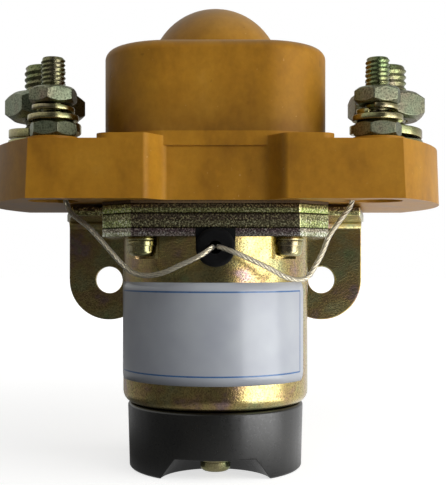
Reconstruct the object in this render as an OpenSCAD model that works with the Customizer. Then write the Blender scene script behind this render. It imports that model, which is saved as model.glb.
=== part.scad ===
// Solenoid contactor for direct current, seen with its coil can hanging down.
// The origin is midway between the two mounting holes, on the back face of the bracket.
// +X points to the right-hand terminals, -Y to the front, +Z up.

/* [Mounting bracket] */
// Thickness of the bracket sheet
bracket_t = 2.2; // [1.6:0.1:3]
// Distance between the two mounting holes
hole_pitch = 60; // [52:1:70]
// Diameter of the mounting holes
hole_d = 7.5; // [5:0.1:9]
// Radius of the rounded ears
ear_r = 11.2; // [9:0.1:13]
// Distance from the mounting face to the axis of the can
axis_depth = 30; // [29:0.5:40]
// Height of the bracket flange above the mounting holes
flange_rise = 16.2; // [15:0.1:22]
// Inside radius of the bend
bend_r = 2; // [1:0.5:3]
// Height of the cut-out between the ears, above the mounting holes
cutout_rise = 6; // [0:1:8]
// Half width of the flange where it leaves the stack of plates
shoulder_x = 35; // [31:0.5:38]
// How far in front of the can axis the flange widens
shoulder_y = 11; // [5:0.5:14]

/* [Magnet frame] */
// Width of the stack of plates
plate_w = 53.2; // [52:0.2:58]
// Depth of the stack of plates
plate_d = 48.4; // [48:0.2:54]
// Bevel at the corners of the plates
plate_bevel = 7.3; // [4:0.1:9]
// Thickness of the yoke plate
yoke_t = 3.4; // [2.5:0.1:5]
// Thickness of the can sheet
can_t = 2; // [1.5:0.1:2.5]
// Diameter of the can
can_d = 46.4; // [45:0.2:47]
// Depth of the can, from the top of its flange to its floor
can_h = 42.7; // [40:0.1:48]
// Rounding of the lower edge of the can
can_edge_r = 3; // [1:0.5:4]
// Screw positions, across and along
screw_x = 17.2; // [16.6:0.1:18]
// Screw positions, front to back
screw_y = 17; // [16.6:0.1:18]
// Radius of the dents that clear the screw heads
dent_r = 4.6; // [4.2:0.1:5]
// Height of the dents below the flange
dent_h = 5.1; // [4.8:0.1:6]

/* [Plunger and coil] */
// Diameter of the plunger
plunger_d = 18.1; // [14:0.1:19]
// Travel of the plunger
stroke = 5.6; // [5:0.1:6]
// Gap between the open contacts
contact_gap = 4.2; // [3:0.1:4.5]
// Gap left between the pole faces when the plunger is in
pole_gap = 0.4; // [0.2:0.1:1]
// Height of the fixed core above the floor of the can
core_h = 15.9; // [12:0.1:18]
// Running clearance of moving parts, on the radius
run_c = 0.05; // [0.02:0.01:0.08]
// Wall of the guide tube
tube_wall = 0.8; // [0.5:0.1:1.2]
// Wall of the bobbin
bobbin_wall = 1.2; // [0.8:0.1:1.6]
// Free height in the can above the bobbin, up to the grommet and the dents
bobbin_room = 1; // [0.5:0.1:6]
// Gap between the coil winding and the wall of the can
winding_gap = 1.9; // [1:0.1:4]
// Wire of the return spring
return_wire = 1.2; // [0.8:0.1:1.4]
// Wire of the contact spring
contact_wire = 1.4; // [0.8:0.1:1.6]

/* [Contacts] */
// Width of the copper straps
strap_w = 14; // [10:0.5:15]
// Thickness of the copper straps
strap_t = 3; // [2:0.1:3.2]
// Height of the straps above the underside of the housing
strap_rise = 4.9; // [4:0.1:5]
// Distance of the contact tips from the middle
tip_x = 15; // [14.5:0.5:16]
// Diameter of the contact tips
tip_d = 9; // [6:0.5:9.5]
// Thickness of a fixed tip
fixed_tip_t = 1.5; // [0.8:0.1:1.8]
// Thickness of a moving tip
moving_tip_t = 1.2; // [0.8:0.1:1.5]
// Thickness of the contact bridge
bridge_t = 3; // [2:0.1:3.5]
// Diameter of the plunger rod
rod_d = 5; // [4:0.1:6]
// Length of the contact spring as fitted
spring_h = 14; // [12:0.5:15]

/* [Housing] */
// Diameter of the base of the housing
base_d = 114; // [110:1:118]
// How far the centre of the base lies behind the can axis
base_back = 8.3; // [4:0.1:10]
// Depth of the base from its front flat to its back flat
base_depth = 60; // [59:0.5:64]
// Thickness of the base
base_t = 13.4; // [12:0.1:16]
// Share of its width that the base loses to draft
base_draft = 0.008; // [0.004:0.001:0.02]
// Width of the cover
cover_w = 53.4; // [52:0.2:56]
// Depth of the cover
cover_depth = 50; // [49:0.5:52]
// Corner radius of the cover
cover_r = 16; // [13:0.5:18]
// Height of the cover above the base
cover_h = 23.4; // [21:0.1:28]
// Rounding of the top edge of the cover
cover_edge_r = 2.4; // [1:0.1:3]
// Wall of the cover
cover_wall = 3; // [2:0.1:3.2]
// Width of the raised pad that the cover stands on
pad_w = 53.4; // [53:0.2:58]
// Height of the raised pad
pad_h = 1.2; // [0.8:0.1:2]
// Radius of the dome
dome_r = 16.5; // [15:0.1:18]
// Height of the dome above the cover
dome_h = 12.6; // [11:0.1:13]
// Depth of the recess in the front of the base
recess_depth = 5.5; // [4:0.1:5.5]
// Half width of the flat floor of the recess
recess_floor = 10.9; // [8:0.1:12]
// Half width of the recess at its mouth
recess_mouth = 16.3; // [14:0.1:18]
// Thickness of the gasket
gasket_t = 0.7; // [0.5:0.1:1]

/* [Main terminals] */
// Distance of the main studs from the middle
main_x = 42; // [41:0.1:43]
// How far the main studs stand in front of the can axis
main_y = 6; // [5:0.1:6.5]
// Diameter of the main studs
main_d = 10; // [8:0.1:10]
// Height of the main studs above the base
main_rise = 20.5; // [18:0.5:24]
// Width of the main nuts across their flats
main_af = 17; // [16:0.1:17]
// Height of the main nuts
main_nut_h = 6.6; // [6:0.1:7]
// Turn of the left and right main nuts
main_turn = [6, -27]; // [-30:1:30]
// Height of the loose spring washers of the main studs
main_spring_h = 4.9; // [4.6:0.1:5.2]
// Turn of the left and right spring washers of the main studs
main_spring_turn = [215, 335]; // [0:1:360]

/* [Coil terminals] */
// Distance of the coil studs from the middle
coil_x = 37.6; // [37:0.1:38.4]
// How far the coil studs stand in front of the can axis
coil_y = 20.2; // [20.2:0.1:20.4]
// Diameter of the coil studs
coil_d = 6; // [5:0.1:6]
// Height of the coil studs above the base
coil_rise = 19.7; // [18:0.1:22]
// Width of the coil nuts across their flats
coil_af = 10; // [9:0.1:10]
// Height of the coil nuts
coil_nut_h = 3.9; // [3.6:0.1:4.2]
// Turn of the upper coil nuts, left and right
coil_turn = [26, 13]; // [-30:1:60]
// Turn of the lower coil nuts, left and right
coil_lower_turn = [49, 5]; // [-30:1:60]
// Height of the loose spring washers of the coil studs
coil_spring_h = 2.5; // [2.3:0.1:2.7]
// Turn of the left and right spring washers of the coil studs
coil_spring_turn = [154, 250]; // [0:1:360]
// Diameter of the sleeved leads
lead_d = 1.2; // [1:0.1:1.4]
// Turn of the left and right lead lugs about their studs
lug_turn = [70, 0]; // [0:1:75]

/* [End cap] */
// Diameter of the end cap
cap_d = 44; // [42:0.2:46]
// Height of the end cap
cap_h = 16.2; // [14:0.1:20]
// Wall of the end cap
cap_wall = 2.4; // [1.6:0.1:3]
// Height of the scallops in the foot of the cap
scallop_h = 5.1; // [4.5:0.1:5.5]
// Radius of the scallops at the foot
scallop_r = 13.1; // [12:0.1:14]
// Distance of the scallop centres from the can axis
scallop_y = 18.7; // [18:0.1:20]
// Distance of the cap screws from the can axis
cap_screw_y = 14; // [13:0.1:15]

/* [Label] */
// Height of the label
label_h = 23.8; // [20:0.2:26]
// Thickness of the label
label_t = 0.2; // [0.1:0.05:0.3]
// Angles at which the label starts and ends around the can
label_span = [-80, 66]; // [-90:1:90]
// Height of the label's top edge above the mounting holes
label_top = 0.2; // [-2:0.1:1]
// Corner radius of the label
label_r = 2.3; // [1:0.1:3]

/* [Hidden] */

LEFT = 0;
RIGHT = 1;
SIDE = [-1, 1];
CORNERS = [[-1, -1], [1, -1], [1, 1], [-1, 1]];
// A cutter reaches this far past the face it opens
past = 1;
fine = 96;
round_small = 48;

// Levels of the stack, from the can up
z_bracket = flange_rise;
z_yoke = z_bracket - yoke_t;
z_flange = z_yoke - can_t;
z_gasket = z_bracket + bracket_t;
z_base = z_gasket + gasket_t;
z_base_top = z_base + base_t;
z_cover_top = z_base_top + cover_h;
z_can_foot = z_yoke - can_h;
z_can_floor = z_can_foot + can_t;
z_cap_foot = z_can_foot - cap_h;
z_scallop = z_cap_foot + scallop_h;

pad_r = 3;
cutout_r = 4;
label_gap = 0.02;
strap_knee = 8;
scallop_taper = 3.6;
cap_taper = 0.4;
cap_lip = 0.5;
can_r = can_d / 2;
front_y = base_depth / 2;
base_r = base_d / 2;
hole_x = hole_pitch / 2;

// Screws of the magnet frame
screw_r = 2;
screw_play = 0.25;
screw_head_r = 3.2;
screw_head_h = 2.4;
small_washer_r = 3.6;
flat_washer_t = 0.9;
spring_washer_t = 1.2;
insert_r = 3;
insert_h = 8;
insert_boss_r = 5;
cap_head_r = 3.6;

// Grommet in the front of the can
grommet_r = 4.5;
grommet_neck_r = 3.3;
grommet_bore_r = 1.5;
grommet_proud = 3.2;
grommet_edge = 1;
grommet_inner_t = 1.4;
grommet_tab_proud = 0.4;
grommet_tab_c = 0.1;
z_grommet = z_yoke - grommet_r;
notch_w = 2 * grommet_r + 0.2;

// Plunger and coil
plunger_r = plunger_d / 2;
tube_in_r = plunger_r + run_c;
tube_out_r = tube_in_r + tube_wall;
bobbin_in_r = tube_out_r + run_c;
bobbin_out_r = bobbin_in_r + bobbin_wall;
bobbin_flange_t = 1.5;
winding_play = 0.1;
winding_r = can_r - can_t - winding_gap;
// The lower flange of the bobbin clears the rounding of the can's floor
bobbin_flange_r = can_r - max(can_edge_r, can_t + 0.6);
z_bobbin_top = min(z_grommet - grommet_r, z_flange - dent_h - can_t / 2) - bobbin_room;
bobbin_h = z_bobbin_top - z_can_floor;
core_r = tube_in_r - run_c;
core_foot_r = 5;
z_core_top = z_can_floor + core_h;
z_plunger_foot = z_core_top + pole_gap + stroke;
stop_t = 1;
z_stop = z_bracket - 0.1 - stop_t;
spring_seat_r = 5.6;
core_seat = 6;
plunger_seat = 8;
bore_r = 6;
spigot_h = 8;

// Contacts
z_strap = z_base + strap_rise;
z_fixed_tip = z_strap + strap_t;
z_bridge_tip = z_fixed_tip + fixed_tip_t + contact_gap;
z_bridge = z_bridge_tip + moving_tip_t;
over_travel = stroke - contact_gap;
strap_end = tip_x - tip_d / 2 - 1;
bush_flange_t = 2.9;
bush_flange_r = strap_end - 1.5;
bush_neck_r = rod_d / 2 + 1.95;
z_bush = z_bridge - bush_flange_t;
z_retainer = z_bridge + bridge_t + spring_h;
retainer_r = 7.5;
retainer_t = 1.2;
rod_nut_af = 8;
rod_nut_h = 4;
rod_end = 1.8;
rod_collar_r = rod_d / 2 + 1;
bridge_w = 13;
bridge_half = tip_x + tip_d / 2 + 1;
spring_coil_r = bush_neck_r + contact_wire / 2 + 0.5;

// Terminal stacks
main_r = main_d / 2;
coil_r = coil_d / 2;
washer_play = 0.15;
// Inside their nuts the studs have the core of the thread, above them its outside
thread_depth = 0.5;
nut_play = 0.1;
free_gap = 0.3;
main_core_r = main_r - thread_depth;
coil_core_r = coil_r - thread_depth;
boss_h = 1.1;
main_boss_r = 9.6;
coil_boss_r = 6.2;
main_head_r = 8;
main_head_t = 3;
main_flat_r = 9;
main_flat_t = 1.1;
main_spring_r = 8.85;
main_spring_t = 2.2;
coil_flat_r = 5.9;
coil_flat_t = 1.4;
coil_spring_r = 4.95;
coil_spring_t = 1.2;
z_boss = z_base_top + boss_h;
z_main_spring = z_boss + main_flat_t;
z_main_nut = z_main_spring + main_spring_h;
z_coil_flat = z_boss + coil_nut_h;
z_coil_spring = z_coil_flat + coil_flat_t;
z_coil_nut = z_coil_spring + coil_spring_h;
// The free ends of the studs start just above their nuts
z_main_free = z_main_nut + main_nut_h + free_gap;
z_coil_free = z_coil_nut + coil_nut_h + free_gap;
coil_head_r = 4.4;
coil_head_h = 3;
coil_head_sunk = 0.4;
lug_t = 0.8;
lug_r = 5.2;
lug_reach = 5.8;
lug_barrel_r = 1.2;
lug_barrel_h = 2.4;
pocket_r = 5.8;
pocket_h = coil_head_sunk + coil_head_h + lug_t;
pocket_channel_r = 2.1;

// Route of the left lead, from the coil to its lug, measured from the can axis
LEAD_LEFT = [
    [-1.2, -15, 4.6], [-0.9, -17, 7.2], [-0.7, -20, 8.2], [-0.7, -24, 8.3], [-0.9, -26.6, 8.1],
    [-3.7, -27.8, 6.2], [-8, -27, 4.2], [-11.6, -26, 2.6], [-15.2, -24.6, 1.9],
    [-18.6, -23, 2.4], [-21.4, -21.8, 4.4], [-24.2, -21, 7.4], [-27, -20.2, 10.5],
    [-29.8, -19, 13.3], [-32.4, -17, 15.2], [-34.6, -15.4, 17.2], [-35.6, -14.75, 19.8]
];
// Route of the right lead, from the coil to its lug, measured from the can axis
LEAD_RIGHT = [
    [1.2, -15, 4.6], [0.9, -17, 7.2], [0.7, -20, 8.2], [0.7, -24, 8.4], [1, -26.6, 8.3],
    [4.6, -28, 7], [9, -27.4, 5], [12.6, -26.2, 3.3], [15.6, -25, 1.7],
    [18.8, -24, 0.9], [21.2, -23, 1.6], [22.9, -22.4, 4], [24.6, -21.8, 7],
    [26.2, -21.2, 10.8], [28.4, -20.7, 14], [30, -20.4, 16.1], [31.3, -20.2, 17.9],
    [31.8, -20.2, 19.8]
];

ZINC = "#8f8a4a";
ZINC_PALE = "#b3ad84";
MOULDING = "#b07a26";
COPPER = "#b4683a";
SILVER = "#c9cbcc";
BRASS = "#b99a4c";
BLACK = "#1b1b1d";
STEEL = "#8d9095";

// Puts its children on the axis of the can
module at_axis() {
    translate([0, -axis_depth, 0]) children();
}

// Puts its children on each of the four frame screws
module at_screws() {
    for (c = CORNERS) translate([c.x * screw_x, c.y * screw_y, 0]) children();
}

module at_main(side) {
    translate([SIDE[side] * main_x, -main_y, 0]) children();
}

module at_coil(side) {
    translate([SIDE[side] * coil_x, -coil_y, 0]) children();
}

// Ring with a plain bore
module ring(outer, inner, h) {
    rotate_extrude($fn = round_small) translate([inner, 0]) square([outer - inner, h]);
}

// Spring washer: a ring cut through by a slanting slot
module split_ring(outer, inner, h, turn) {
    slot = 0.28 * h + 0.5;
    difference() {
        ring(outer, inner, h);
        rotate(turn) translate([(outer + inner) / 2, 0, h / 2]) rotate([35, 0, 0])
            cube([outer, slot, 4 * h], center = true);
    }
}

// Loose spring washer: a flat section that climbs once around, cut through at one place
module loose_ring(outer, inner, section, h, turn) {
    sweep_angle = 344;
    steps = 36;
    points = [for (i = [0:steps])
        let (a = turn - sweep_angle * i / steps, z = (h - section) * i / steps)
        for (q = [[inner, z], [outer, z], [outer, z + section], [inner, z + section]])
            [q[0] * cos(a), q[0] * sin(a), q[1]]];
    tube(points, steps + 1, 4);
}

// Closed skin over rings of points that follow one another
module tube(points, rings, sides) {
    walls = [for (i = [0:rings - 2]) for (k = [0:sides - 1])
        let (a = i * sides + k, b = i * sides + (k + 1) % sides)
        for (face = [[a, b, b + sides], [a, b + sides, a + sides]]) face];
    start = [for (k = [1:sides - 2]) [0, k + 1, k]];
    last = (rings - 1) * sides;
    end = [for (k = [1:sides - 2]) [last, last + k, last + k + 1]];
    polyhedron(points, concat(start, walls, end));
}

// Hexagon nut, chamfered at both faces
module nut(af, h, bore) {
    corner = af / sqrt(3);
    chamfer = 0.75 * (corner - af / 2);
    difference() {
        intersection() {
            cylinder(r = corner, h = h, $fn = 6);
            rotate_extrude($fn = fine) polygon([
                [0, 0], [af / 2 - 0.1, 0], [corner, chamfer], [corner, h - chamfer],
                [af / 2 - 0.1, h], [0, h]
            ]);
        }
        translate([0, 0, -past]) cylinder(r = bore, h = h + 2 * past, $fn = round_small);
    }
}

// Rod with a chamfered upper end
module rod(r, z0, z1, chamfer) {
    rotate_extrude($fn = round_small) polygon([
        [0, z0], [r, z0], [r, z1 - chamfer], [r - chamfer, z1], [0, z1]
    ]);
}

// Stud: a core that its nuts and washers ride on, and a full-size free end above them
module stud(r, core_r, z0, z_free, z1, chamfer) {
    rotate_extrude($fn = round_small) polygon([
        [0, z0], [core_r, z0], [core_r, z_free], [r, z_free],
        [r, z1 - chamfer], [r - chamfer, z1], [0, z1]
    ]);
}

// Pan head that points down from z = 0, with a cross recess
module pan_head(r, h) {
    recess_w = 0.28 * r;
    recess_l = 1.1 * r;
    difference() {
        rotate_extrude($fn = round_small) polygon(concat(
            [[0, 0], [r, 0]],
            [for (a = [0:15:90]) [r - 0.45 * h * (1 - cos(a)) - 0.1 * r * sin(a) * (1 - cos(a)),
                -0.5 * h - 0.5 * h * sin(a)]],
            [[0, -h]]
        ));
        for (a = [0, 90]) rotate(a) translate([0, 0, -h])
            cube([recess_l, recess_w, 1.2 * h], center = true);
    }
}

// Outline of a plate of the magnet frame
module plate_outline() {
    x = plate_w / 2;
    y = plate_d / 2;
    b = plate_bevel;
    polygon([
        [-x, -y + b], [-x + b, -y], [x - b, -y], [x, -y + b],
        [x, y - b], [x - b, y], [-x + b, y], [-x, y - b]
    ]);
}

// Rounded rectangle centred on the origin
module rounded_plan(w, d, r) {
    cx = w / 2 - r;
    cy = d / 2 - r;
    union() {
        square([w, 2 * cy], center = true);
        square([2 * cx, d], center = true);
        for (c = CORNERS) translate([c.x * cx, c.y * cy]) circle(r, $fn = 64);
    }
}

// Base: a slightly conical disc with its front and back cut flat, and a recess in the front
module base_block() {
    difference() {
        intersection() {
            translate([0, base_back, z_base]) cylinder(
                r1 = base_r, r2 = base_r * (1 - base_draft), h = base_t, $fn = 128);
            translate([0, 0, z_base + base_t / 2])
                cube([2 * base_d, base_depth, base_t], center = true);
        }
        translate([0, 0, z_base - past]) linear_extrude(base_t + 2 * past) recess_plan();
    }
}

// Plan of the recess: a flat floor with a curve on each side
module recess_plan() {
    steps = 8;
    run = recess_mouth - recess_floor;
    right_side = [for (i = [0:steps])
        [recess_mouth - run * i / steps,
            -front_y + recess_depth * (1 - cos(180 * i / steps)) / 2]];
    left_side = [for (i = [steps:-1:0]) [-right_side[i].x, right_side[i].y]];
    polygon(concat(
        [[recess_mouth, -front_y - past]], right_side, left_side,
        [[-recess_mouth, -front_y - past]]
    ));
}

// Cover: upright walls with rounded corners, and a rounded top edge
module cover_outside() {
    e = cover_edge_r;
    cx = cover_w / 2 - cover_r;
    cy = cover_depth / 2 - cover_r;
    translate([0, 0, z_base_top - past]) linear_extrude(cover_h + past - e)
        rounded_plan(cover_w, cover_depth, cover_r);
    translate([0, 0, z_cover_top - e]) linear_extrude(e)
        rounded_plan(cover_w - 2 * e, cover_depth - 2 * e, cover_r - e);
    for (c = CORNERS) translate([c.x * cx, c.y * cy, z_cover_top - e])
        rotate_extrude($fn = 64) intersection() {
            translate([cover_r - e, 0]) circle(e, $fn = 48);
            square(cover_r + past);
        }
    for (s = SIDE) {
        translate([s * (cover_w / 2 - e), cy, z_cover_top - e]) rotate([90, 0, 0])
            cylinder(r = e, h = 2 * cy, $fn = 48);
        translate([-cx, s * (cover_depth / 2 - e), z_cover_top - e]) rotate([0, 90, 0])
            cylinder(r = e, h = 2 * cx, $fn = 48);
    }
}

module dome(r, h_above) {
    translate([0, 0, z_cover_top + h_above - r]) sphere(r, $fn = fine);
}

module housing() color(MOULDING) at_axis() difference() {
    union() {
        base_block();
        difference() {
            translate([0, 0, z_base_top - past]) linear_extrude(pad_h + past)
                rounded_plan(pad_w, base_depth, pad_r);
            translate([0, 0, z_base_top - 2 * past]) linear_extrude(pad_h + 3 * past)
                recess_plan();
        }
        cover_outside();
        intersection() {
            dome(dome_r, dome_h);
            translate([0, 0, z_cover_top - 1]) cylinder(r = dome_r + past, h = dome_h + 2);
        }
        for (side = [LEFT, RIGHT]) {
            at_main(side) translate([0, 0, z_base_top - past])
                cylinder(r = main_boss_r, h = boss_h + past, $fn = round_small);
            at_coil(side) translate([0, 0, z_base_top - past])
                cylinder(r = coil_boss_r, h = boss_h + past, $fn = round_small);
        }
    }
    contact_chamber();
    at_screws() translate([0, 0, z_base - past])
        cylinder(r = insert_r, h = insert_h + past, $fn = round_small);
    for (side = [LEFT, RIGHT]) {
        main_stud_solid(side);
        strap_solid(side);
        at_coil(side) {
            cylinder(r = coil_core_r, h = 2 * z_cover_top, $fn = round_small);
            coil_pocket(side);
        }
    }
}

// Space inside the housing in which the contacts move
module contact_chamber() {
    chamber_w = cover_w - 1 - 2 * cover_wall;
    chamber_d = cover_depth - 1 - 2 * cover_wall;
    dome_in_r = dome_r - cover_wall;
    difference() {
        union() {
            translate([0, 0, z_base - past])
                linear_extrude(z_cover_top - cover_wall - z_base + past)
                    rounded_plan(chamber_w, chamber_d, cover_r - cover_wall);
            dome(dome_in_r, dome_h - cover_wall);
        }
        at_screws() translate([0, 0, z_base - 2 * past])
            cylinder(r = insert_boss_r, h = insert_h + 2 + 2 * past, $fn = round_small);
    }
}

// Pocket under a coil stud, with a channel for the lead
module coil_pocket(side) {
    translate([0, 0, z_base - past]) {
        cylinder(r = pocket_r, h = pocket_h + past, $fn = round_small);
        rotate(lug_angle(side)) translate([lug_reach, 0, 0])
            cylinder(r = pocket_channel_r, h = pocket_h + past, $fn = round_small);
    }
}

// Direction from a coil stud to the barrel of its lug
function lug_angle(side) = side == LEFT ? lug_turn[LEFT] : 180 - lug_turn[RIGHT];

module insulating_gasket() color(BLACK) at_axis() translate([0, 0, z_gasket]) difference() {
    linear_extrude(gasket_t) plate_outline();
    translate([0, 0, -past]) cylinder(r = bore_r, h = gasket_t + 2 * past, $fn = fine);
    at_screws() translate([0, 0, -past])
        cylinder(r = screw_r + screw_play, h = gasket_t + 2 * past, $fn = round_small);
}

module threaded_inserts() color(BRASS) at_axis() at_screws()
    translate([0, 0, z_base]) ring(insert_r, screw_r, insert_h);

// Plan of the bracket flange, from its bevelled front to the start of the bend
module flange_plan() {
    x = plate_w / 2;
    y = plate_d / 2;
    b = plate_bevel;
    back = axis_depth - bracket_t - bend_r;
    right = [
        [x - b, -y], [x, -y + b], [x, -shoulder_y], [shoulder_x, -shoulder_y],
        [hole_x + ear_r, back - bend_r], [hole_x + ear_r, back]
    ];
    left = [for (i = [len(right) - 1:-1:0]) [-right[i].x, right[i].y]];
    polygon(concat(right, left));
}

module mounting_bracket() color(ZINC) at_axis() difference() {
    union() {
        translate([0, 0, z_bracket]) linear_extrude(bracket_t) flange_plan();
        bracket_bend();
        bracket_ears();
    }
    translate([0, 0, z_bracket - past])
        cylinder(r = bore_r, h = bracket_t + 2 * past, $fn = fine);
    at_screws() translate([0, 0, z_bracket - past])
        cylinder(r = screw_r + screw_play, h = bracket_t + 2 * past, $fn = round_small);
    for (s = SIDE) translate([s * hole_x, axis_depth + past, 0]) rotate([90, 0, 0])
        cylinder(d = hole_d, h = bracket_t + 2 * past, $fn = fine);
}

// Quarter bend between the flange and the ears
module bracket_bend() {
    half = hole_x + ear_r;
    r_out = bend_r + bracket_t;
    translate([-half, axis_depth - r_out, z_bracket - bend_r]) rotate([90, 0, 90])
        linear_extrude(2 * half) intersection() {
            difference() {
                circle(r_out, $fn = 64);
                circle(bend_r, $fn = 64);
            }
            square(r_out + past);
        }
}

// Upright part of the bracket: two rounded ears with a cut-out between them
module bracket_ears() {
    half = hole_x + ear_r;
    gap_half = hole_x - ear_r;
    top = z_bracket - bend_r;
    corner = cutout_r;
    translate([0, axis_depth, 0]) rotate([90, 0, 0]) linear_extrude(bracket_t) difference() {
        union() {
            translate([-half, 0]) square([2 * half, top]);
            for (s = SIDE) translate([s * hole_x, 0]) circle(ear_r, $fn = fine);
        }
        translate([-gap_half, -past]) square([2 * gap_half, cutout_rise - corner + past]);
        translate([-gap_half + corner, -past])
            square([2 * (gap_half - corner), cutout_rise + past]);
        for (s = SIDE) translate([s * (gap_half - corner), cutout_rise - corner])
            circle(corner, $fn = 64);
    }
}

module yoke_plate() color(ZINC) at_axis() translate([0, 0, z_yoke]) difference() {
    linear_extrude(yoke_t) plate_outline();
    translate([0, 0, -past]) cylinder(r = tube_out_r + run_c, h = yoke_t + 2 * past, $fn = fine);
    at_screws() translate([0, 0, -past])
        cylinder(r = screw_r + screw_play, h = yoke_t + 2 * past, $fn = round_small);
}

// Drawn can: wall, floor and rounded lower edge as one revolve, and a flange at its mouth
module magnet_can() color(ZINC) at_axis() difference() {
    union() {
        rotate_extrude($fn = 128) can_profile();
        translate([0, 0, z_flange]) linear_extrude(can_t) difference() {
            plate_outline();
            circle(can_r - can_t, $fn = 128);
        }
        intersection() {
            cylinder(r = can_r - can_t / 2, h = z_yoke, $fn = 128);
            at_screws() translate([0, 0, z_flange - dent_h - can_t / 2])
                cylinder(r = dent_r + can_t / 2, h = dent_h + can_t, $fn = round_small);
        }
    }
    at_screws() {
        translate([0, 0, z_flange - dent_h]) cylinder(r = dent_r, h = dent_h, $fn = round_small);
        translate([0, 0, z_flange - past])
            cylinder(r = screw_r + screw_play, h = can_t + 2 * past, $fn = round_small);
    }
    grommet_hole();
    translate([0, 0, z_can_foot - past]) {
        cylinder(r = core_foot_r, h = can_t + 2 * past, $fn = round_small);
        for (s = SIDE) translate([0, s * cap_screw_y, 0])
            cylinder(r = screw_r, h = can_t + 2 * past, $fn = round_small);
    }
}

module can_profile() {
    inner = can_r - can_t;
    inner_edge = can_edge_r - can_t;
    steps = 6;
    outside = [for (i = [0:steps])
        let (a = 90 * i / steps)
        [can_r - can_edge_r * (1 - sin(a)), z_can_foot + can_edge_r * (1 - cos(a))]];
    inside = [for (i = [steps:-1:0])
        let (a = 90 * i / steps, r = max(inner_edge, 0.2))
        [inner - r * (1 - sin(a)), z_can_floor + r * (1 - cos(a))]];
    polygon(concat(
        [[0, z_can_foot]], outside, [[can_r, z_yoke], [inner, z_yoke]], inside,
        [[0, z_can_floor]]
    ));
}

// Slot for the grommet in the can wall, and its notch in the flange
module grommet_hole() {
    translate([0, 0, z_grommet]) rotate([90, 0, 0])
        cylinder(r = grommet_neck_r, h = can_d, $fn = round_small);
    translate([-grommet_neck_r, -can_d, z_grommet])
        cube([2 * grommet_neck_r, can_d, z_yoke - z_grommet + past]);
    difference() {
        translate([-notch_w / 2, -can_d, z_flange - past])
            cube([notch_w, can_d, can_t + 2 * past]);
        cylinder(r = can_r, h = z_yoke + past, $fn = 128);
    }
}

module grommet() color(BLACK) at_axis() difference() {
    union() {
        intersection() {
            grommet_lobe();
            difference() {
                translate([0, 0, z_grommet]) cube(2 * can_d, center = true);
                cylinder(r = can_r, h = z_yoke + past, $fn = 128);
            }
        }
        grommet_tab();
        translate([0, 0, z_grommet]) rotate([90, 0, 0]) translate([0, 0, can_r - can_t - past])
            cylinder(r = grommet_neck_r, h = can_t + 2 * past, $fn = round_small);
        intersection() {
            translate([0, 0, z_grommet]) rotate([90, 0, 0])
                translate([0, 0, can_r - can_t - grommet_inner_t - 0.4])
                    cylinder(r = grommet_r, h = 2 * grommet_inner_t, $fn = round_small);
            cylinder(r = can_r - can_t, h = z_yoke, $fn = 128);
        }
    }
    translate([0, 0, z_grommet]) rotate([90, 0, 0])
        cylinder(r = grommet_bore_r, h = can_d, $fn = round_small);
}

// Square upper part of the grommet, which fills the notch in the can's flange
module grommet_tab() {
    tab_w = 2 * grommet_r;
    difference() {
        translate([-grommet_r, -plate_d / 2 - grommet_tab_proud, z_grommet])
            cube([tab_w, plate_d / 2, z_yoke - z_grommet - grommet_tab_c]);
        cylinder(r = can_r, h = z_yoke + past, $fn = 128);
    }
}

// Outer flange of the grommet, with a rounded rim
module grommet_lobe() {
    translate([0, 0, z_grommet]) rotate([90, 0, 0]) rotate_extrude($fn = round_small)
        polygon(concat(
            [[0, can_r - can_t], [grommet_r, can_r - can_t]],
            [for (a = [0:15:90])
                [grommet_r - grommet_edge * (1 - cos(a)),
                    can_r + grommet_proud - grommet_edge * (1 - sin(a))]],
            [[0, can_r + grommet_proud]]
        ));
}

// Label: a strip around the can with rounded corners, built column by column
module label() color("#e9edf2") at_axis() {
    corner_a = label_r / can_r * 180 / PI;
    mid_a = (label_span[0] + label_span[1]) / 2;
    half_a = (label_span[1] - label_span[0]) / 2;
    step_a = (half_a - corner_a) / 18;
    // The flats between the columns still clear the can
    r_in = (can_r + label_gap) / cos(step_a / 2);
    r_out = r_in + label_t - label_gap;
    // Each column is its angle from the middle, as a share of a corner or of the straight part
    corner = [for (t = [0:15:90])
        [half_a - corner_a * (1 - sin(t)), label_r * (1 - cos(t))]];
    straight = [for (i = [1:35]) [half_a - corner_a - i * step_a, 0]];
    right = [for (i = [len(corner) - 1:-1:0]) corner[i]];
    left = [for (c = corner) [-c[0], c[1]]];
    columns = concat(right, straight, left);
    points = [for (c = columns)
        let (
            a = mid_a + c[0] - 90,
            low = label_top - label_h + c[1],
            high = label_top - c[1]
        )
        for (q = [[r_in, low], [r_out, low], [r_out, high], [r_in, high]])
            [q[0] * cos(a), q[0] * sin(a), q[1]]];
    tube(points, len(columns), 4);
}

// One scallop: a cone cut into the foot of the cap, grown by a wall
module scallop(side, grow) {
    slope = scallop_taper / scallop_h;
    translate([0, side * scallop_y, z_cap_foot - past])
        cylinder(r1 = scallop_r + slope * past + grow, r2 = scallop_r - slope * scallop_h + grow,
            h = scallop_h + past + grow, $fn = 64);
}

module end_cap() color(BLACK) at_axis() difference() {
    union() {
        difference() {
            cap_outside();
            cap_inside();
        }
        intersection() {
            cap_outside();
            for (s = SIDE) scallop(s, cap_wall);
        }
        for (s = SIDE) translate([0, s * cap_screw_y, z_scallop])
            cylinder(r = 2 * screw_r, h = z_can_foot - z_scallop, $fn = round_small);
    }
    for (s = SIDE) {
        scallop(s, 0);
        translate([0, s * cap_screw_y, z_scallop - past])
            cylinder(r = screw_r + screw_play, h = cap_h + past, $fn = round_small);
    }
}

module cap_outside() {
    lip = cap_lip;
    foot_r = cap_d / 2 - cap_taper;
    rotate_extrude($fn = 128) polygon([
        [0, z_cap_foot], [foot_r - lip, z_cap_foot], [foot_r, z_cap_foot + lip],
        [cap_d / 2, z_can_foot - lip], [cap_d / 2 - lip, z_can_foot], [0, z_can_foot]
    ]);
}

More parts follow.
